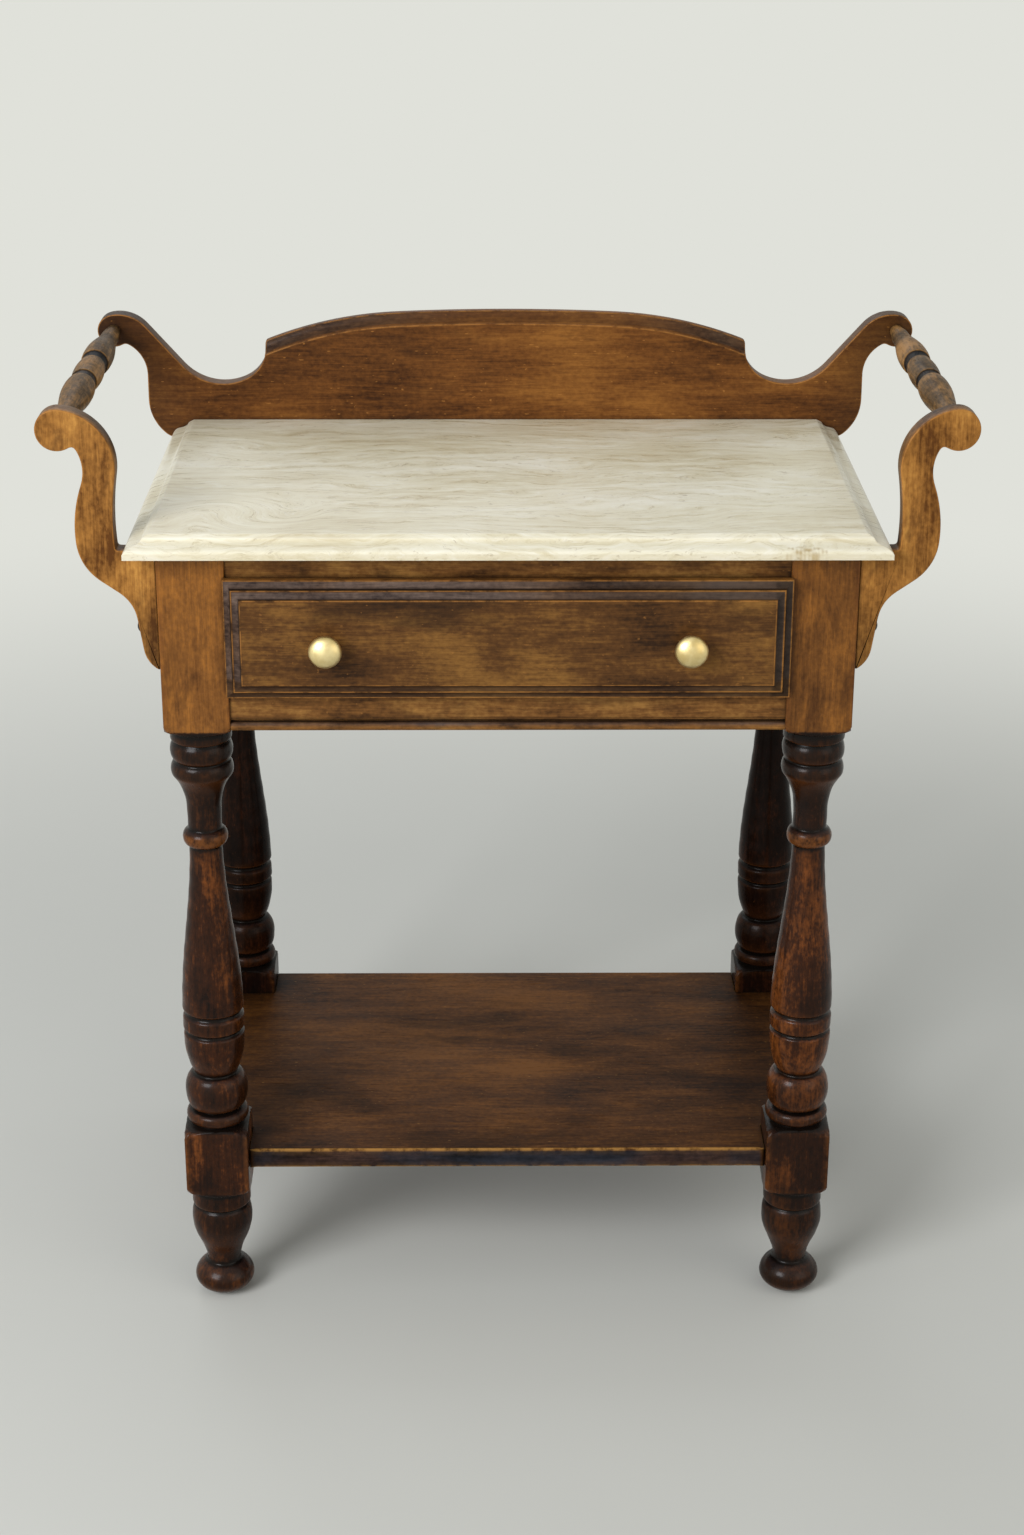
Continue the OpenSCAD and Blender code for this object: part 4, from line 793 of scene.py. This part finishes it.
def squareOutline():
    # directions and radii of a square with rounded corners, half a side from the axis
    half = legHalf - leg["squareRounding"]
    side = np.linspace(-half, half, leg["columnsPerSide"])
    bend = np.radians(np.linspace(0, 90, leg["columnsPerCorner"] + 2))[1:-1]
    x = np.append(np.full_like(side, legHalf), half + leg["squareRounding"] * np.cos(bend))
    y = np.append(side, half + leg["squareRounding"] * np.sin(bend))
    angle = np.arctan2(y, x) + np.arange(4)[:, None] * np.pi / 2
    return angle.ravel(), np.tile(np.hypot(x, y), 4)


def turnedLeg(name, node, material):
    low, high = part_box(node)
    centre = np.array([(low.x + high.x) / 2, (low.y + high.y) / 2, 0.0])
    reach, radius = rings(node, centre, 2)
    diagonal = legHalf * 2 ** 0.5
    cornerZ = np.unique(np.round(reach[radius > diagonal * 0.995], 5))
    gap = np.argmax(np.diff(cornerZ))  # between the two square blocks
    blocks = [(cornerZ[0], cornerZ[gap]), (cornerZ[gap + 1], cornerZ[-1])]
    z = np.arange(0, high.z, leg["step"])
    free = radius < diagonal * 0.995
    inBlock = np.zeros_like(z)
    for start, end in blocks:
        free &= (reach < start - 1e-5) | (reach > end + 1e-5)
        inBlock = np.maximum(inBlock, band(z, start - leg["blockFade"], start, end, end + leg["blockFade"]))
    knots, widest = widestRings(reach[free], radius[free])
    knots, widest = np.append(knots, blocks), np.append(widest, [diagonal * 1.02] * 4)
    order = np.argsort(knots)
    turned = soften(np.interp(z, knots[order], widest[order]), leg["softening"])
    wide = soften(turned, leg["wide"])
    stride = np.hypot(np.gradient(np.minimum(turned, legHalf)), np.gradient(z)) * (1 - 0.8 * inBlock) + 1e-9
    rows = evenPlaces(stride, z, leg["rows"])[:, None]

    def atRows(values):
        return np.interp(rows, z, values)
    angle, square = squareOutline()
    seed = float(np.sum(centre)) * 100
    waver = leg["waver"] * np.sin(rows * leg["waves"] + 2 * np.cos(angle + seed))
    turning = 1 - atRows(inBlock)
    ring = np.minimum(atRows(turned) + waver * turning, square[None, :])
    points = np.stack([centre[0] + ring * np.cos(angle), centre[1] + ring * np.sin(angle),
                       np.broadcast_to(rows, ring.shape)], axis=-1)
    points[-1, :, 2] = high.z
    points[0, :, 2] = 0
    atCorner = (square > diagonal * 0.965).astype(float)[None, :] * atRows(inBlock)
    crown = atRows(np.clip((turned - wide) / leg["crown"], 0, 1))
    hollow = atRows(np.clip((wide - turned) / leg["hollow"], 0, 1))
    # lighter crests and block corners (wear and painted highlight), painted shade in the hollows
    marks = {"wear": np.clip(crown * 0.35 * turning + atCorner, 0, 1),
             "grime": hollow * turning * np.ones_like(ring), "warm": band(points[..., 2], *leg["collar"])}
    piece = closedMesh(name, points, tubeFaces(points.shape), marks, 60)
    finishPiece(piece, "stand", material, "turned_wood", node)


legs = {
    "leg_front_left": {**turnedLook, "upper": leftPost},
    "leg_front_right": {**turnedLook, "upper": rightPostShaded,
                        "shades": (*turnedLook["shades"], (2, 0.30, 0.20, 0.4))},
    "leg_back_left": backLegShadedLook, "leg_back_right": backLegShadedLook}
for count, (node, look) in enumerate(legs.items()):
    move = (1.3 * count, 0.7 * count, 2.1 * count)
    turnedLeg("turned_" + node, node, woodFinish(node + "_wood", 2, look, move))
print("legs turned")


turnery = {"columns": 72, "places": 1600, "softening": 1.6, "wide": 22, "broad": 60, "crown": 0.0006,
           "hollow": 0.0009, "neckFrom": 0.0003, "neckWidth": 0.0085, "neckDeep": 0.0010}


def turnedRound(name, node, body, material, slotName, rows):
    # a turned piece that lies along Y: the frame's rings, softened and carried round its axis
    low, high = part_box(node)
    centre = np.array([(low.x + high.x) / 2, 0, (low.z + high.z) / 2])
    knots, widest = widestRings(*rings(node, centre, 1))
    s = np.linspace(knots[0], knots[-1], turnery["places"])
    inside = soften(np.interp(s, knots, widest), turnery["softening"])
    wide, broad = soften(inside, turnery["wide"]), soften(inside, turnery["broad"])
    # each neck, where the radius is least, is a shallow dark step with a lighter rim, wear and painted
    # highlight
    falls, rises = np.insert(np.diff(inside) <= 0, 0, True), np.append(np.diff(inside) > 0, True)
    least = falls & rises & (broad - inside > turnery["neckFrom"])
    away = np.abs(s[:, None] - s[least][None, :]).min(axis=1, initial=1.0)
    neck = 1 - ramp(away, turnery["neckWidth"], turnery["neckWidth"] + 0.0006)
    inside = inside - turnery["neckDeep"] * neck
    rowS = evenPlaces(np.hypot(np.gradient(inside), np.gradient(s)), s, rows)
    angle = np.linspace(0, 2 * np.pi, turnery["columns"], endpoint=False)[None, :]

    def atRows(values):
        return np.interp(rowS, s, values)[:, None] * np.ones_like(angle)
    ring = atRows(inside)
    points = np.stack([centre[0] + ring * np.cos(angle), np.broadcast_to(rowS[:, None], ring.shape),
                       centre[2] - ring * np.sin(angle)], axis=-1)
    # lighter crests (wear and painted highlight) and painted shade in the hollows
    wear = np.clip(atRows(inside - wide) / turnery["crown"], 0, 1)
    grime = np.clip(atRows(wide - inside) / turnery["hollow"], 0, 1)
    rim = atRows(hump(away, turnery["neckWidth"] + 0.0009, 0.0005))
    marks = {"wear": np.maximum(wear * 0.6, rim), "grime": grime * 0.7, "stain": atRows(neck)}
    finishPiece(closedMesh(name, points, tubeFaces(points.shape), marks, 60), body, material, slotName, node)


for side, move in (("left", (0.4, 1.9, 0.2)), ("right", (2.7, 0.6, 1.4))):
    barWood = woodFinish("bar_wood_" + side, 1, barLook, move)
    turnedRound("turned_bar_" + side, "towel_bar_" + side, "stand", barWood, "bar_wood", 720)
    turnedRound("brass_knob_" + side, "knob_" + side, "drawer", brass, "knob_brass", 120)
print("bars and knobs turned")


slab = {"edgeLines": 46, "linesX": 360, "linesY": 40, "edgeWidth": 0.026, "softening": 3.2, "wide": 14,
        "wearDepth": 0.0009, "flakeAt": 0.258, "flakeWidth": 0.022, "flakeReach": (0.004, 0.013),
        "flakeDeep": 0.0006}


def slabTop():
    # height over a grid of x and y: the edge profile read at the least distance to the moulded edges
    low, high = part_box("stone_top")
    points = corners("stone_top")
    edge = points[(points[:, 1] > high.y - 1e-5) & (points[:, 0] > 0)]  # where one side moulding ends
    inset, height = high.x - edge[:, 0], edge[:, 2] - low.z
    knots = np.unique(np.round(inset, 6))
    tallest = np.array([height[np.abs(inset - k) < 1e-6].max() for k in knots])
    near = knots < slab["edgeWidth"]
    fine = np.arange(0, slab["edgeWidth"], fineStep)
    profile = soften(np.interp(fine, knots[near], tallest[near]), slab["softening"])
    proud = (profile - soften(profile, slab["wide"])) / slab["wearDepth"]
    x, y = (spacedLines(high[k] - low[k], fine, profile, slab["edgeLines"], slab["edgeWidth"],
                        slab[lines], k == 0) for k, lines in ((0, "linesX"), (1, "linesY")))
    distance = np.minimum(np.minimum(x, x[-1] - x)[None, :], y[:, None])
    z = np.interp(distance, fine, profile, right=high.z - low.z)
    # a few flakes have come off the front edge
    across, deep = (low.x + x)[None, :], y[:, None]
    ragged = np.sin(700 * across + 420 * deep) * np.sin(980 * across - 760 * deep + 1)
    ragged += 0.5 * np.sin(520 * across + 900 * deep + 2)
    around = hump(across, slab["flakeAt"], slab["flakeWidth"]) * (1 - ramp(deep, *slab["flakeReach"]))
    flaked = np.clip(around * 1.3 + ragged * 0.5 - 0.75, 0, 1)
    z = z - slab["flakeDeep"] * flaked
    # lighter on the edge's proud parts (wear and painted highlight), darker in its hollows (grime and painted
    # shade)
    marks = {"wear": np.clip(np.interp(distance, fine, proud, right=0), 0, 1),
             "grime": np.clip(np.interp(distance, fine, -proud, right=0), 0, 1), "flaked": flaked}
    top = np.stack(np.broadcast_arrays(low.x + x[None, :], low.y + y[:, None], low.z + z), axis=-1)
    # one more line all round drops to the underside, and the underside closes it
    grid = np.pad(top, ((1, 1), (1, 1), (0, 0)), mode="edge")
    grid[[0, -1], :, 2] = low.z
    grid[:, [0, -1], 2] = low.z
    piece = closedMesh("marble_slab", grid, sheetFaces(grid.shape),
                       {key: np.pad(value, 1, mode="edge") for key, value in marks.items()}, 40)
    finishPiece(piece, "stand", marble, "top_stone", "stone_top")


slabTop()
print("stone top made")


stage = {"floor": "#cfd0c9", "background": "#e0e1da", "sky": "#f1f3f4", "worldStrength": 0.50,
         "reach": 30.0, "near": 0.75, "far": 2.6}
lamps = {
    # name: place, what it shines at, side of the square, power, colour
    "window": ((-2.2, -2.8, 2.2), (0, 0, 0.6), 1.8, 118.0, "#fbfbff"),
    "room": ((2.6, -2.4, 1.5), (0, 0, 0.5), 2.4, 17.0, "#fff6ea"),
    "behind": ((-0.6, 2.4, 2.6), (0, 0, 0.7), 1.8, 14.0, "#f4f7ff"),
}


def seenDirectly(finish):
    # 1 for the camera and for what glossy and clear surfaces show
    camera, glossy, clear = (finish.node("LightPath", {}, {}, key + " Ray")
                             for key in ("Is Camera", "Is Glossy", "Is Transmission"))
    return camera + glossy * (1 - camera) + clear * (1 - camera)


def makeFloor():
    # pale near the object, and the background's own colour further away
    pale = Finish(bpy.data.materials.new("pale_floor"))
    distance = pale.node("VectorMath", {"operation": "LENGTH"}, {0: pale.coords}, "Value")
    speckle = pale.noise(pale.coords, 0.4, 3.0)
    colour = pale.blend(speckle * 0.25, linear(stage["floor"]), linear(stage["background"]))
    lit = pale.node("BsdfDiffuse", {}, {"Color": colour})
    plain = pale.node("Emission", {}, {"Color": linear(stage["background"]), "Strength": 1.0})
    share = pale.step(distance, stage["near"], stage["far"]) * seenDirectly(pale)
    mesh, reach = bpy.data.meshes.new("floor"), stage["reach"]
    square = [(x * reach, y * reach, 0) for x, y in ((-1, -1), (1, -1), (1, 1), (-1, 1))]
    mesh.from_pydata(square, [], [(0, 1, 2, 3)])
    mesh.materials.append(pale.close(pale.node("MixShader", {}, {0: share, 1: lit, 2: plain})))
    floor = bpy.data.objects.new("floor", mesh)
    bpy.context.scene.collection.objects.link(floor)


def makeWorld():
    sky = Finish(bpy.data.worlds.new("studio"))
    bpy.context.scene.world = sky.owner
    light = sky.node("Background", {}, {"Color": linear(stage["sky"]), "Strength": stage["worldStrength"]})
    shown = sky.node("Background", {}, {"Color": linear(stage["background"])})
    share = seenDirectly(sky)
    sky.node("OutputWorld", {}, {"Surface": sky.node("MixShader", {}, {0: share, 1: light, 2: shown})})


def softLight(name, place, aim, size, power, colour):
    lamp = bpy.data.lights.new(name, "AREA")
    lamp.shape, lamp.size, lamp.energy = "SQUARE", size, power
    lamp.color = linear(colour)[:3]
    holder = bpy.data.objects.new(name, lamp)
    holder.location = place
    holder.rotation_mode = "QUATERNION"
    holder.rotation_quaternion = (Vector(aim) - Vector(place)).to_track_quat("-Z", "Y")
    bpy.context.scene.collection.objects.link(holder)


photoCamera = {"height": 1535, "focalPixels": 2646.5, "place": (-0.01706, -2.38525, 1.4609),
               "pitchDown": 22.111, "yaw": 0.5383, "roll": 0.1194}


def makeCamera():
    pitch, yaw, roll = (radians(photoCamera[key]) for key in ("pitchDown", "yaw", "roll"))
    forward = Vector((sin(yaw) * cos(pitch), cos(yaw) * cos(pitch), -sin(pitch)))
    level = Vector((cos(yaw), -sin(yaw), 0))
    upright = level.cross(forward)
    right = level * cos(roll) + upright * sin(roll)
    up = upright * cos(roll) - level * sin(roll)
    data = bpy.data.cameras.new("photo_camera")
    data.sensor_fit, data.sensor_width = "AUTO", 36.0
    data.lens = photoCamera["focalPixels"] / photoCamera["height"] * data.sensor_width
    holder = bpy.data.objects.new("photo_camera", data)
    holder.matrix_world = Matrix((right, up, -forward)).transposed().to_4x4()
    holder.location = photoCamera["place"]
    bpy.context.scene.collection.objects.link(holder)
    bpy.context.scene.camera = holder


makeFloor()
makeWorld()
for name, settings in lamps.items():
    softLight(name, *settings)
makeCamera()
bpy.context.scene.view_settings.view_transform = "Standard"
print("stage set")
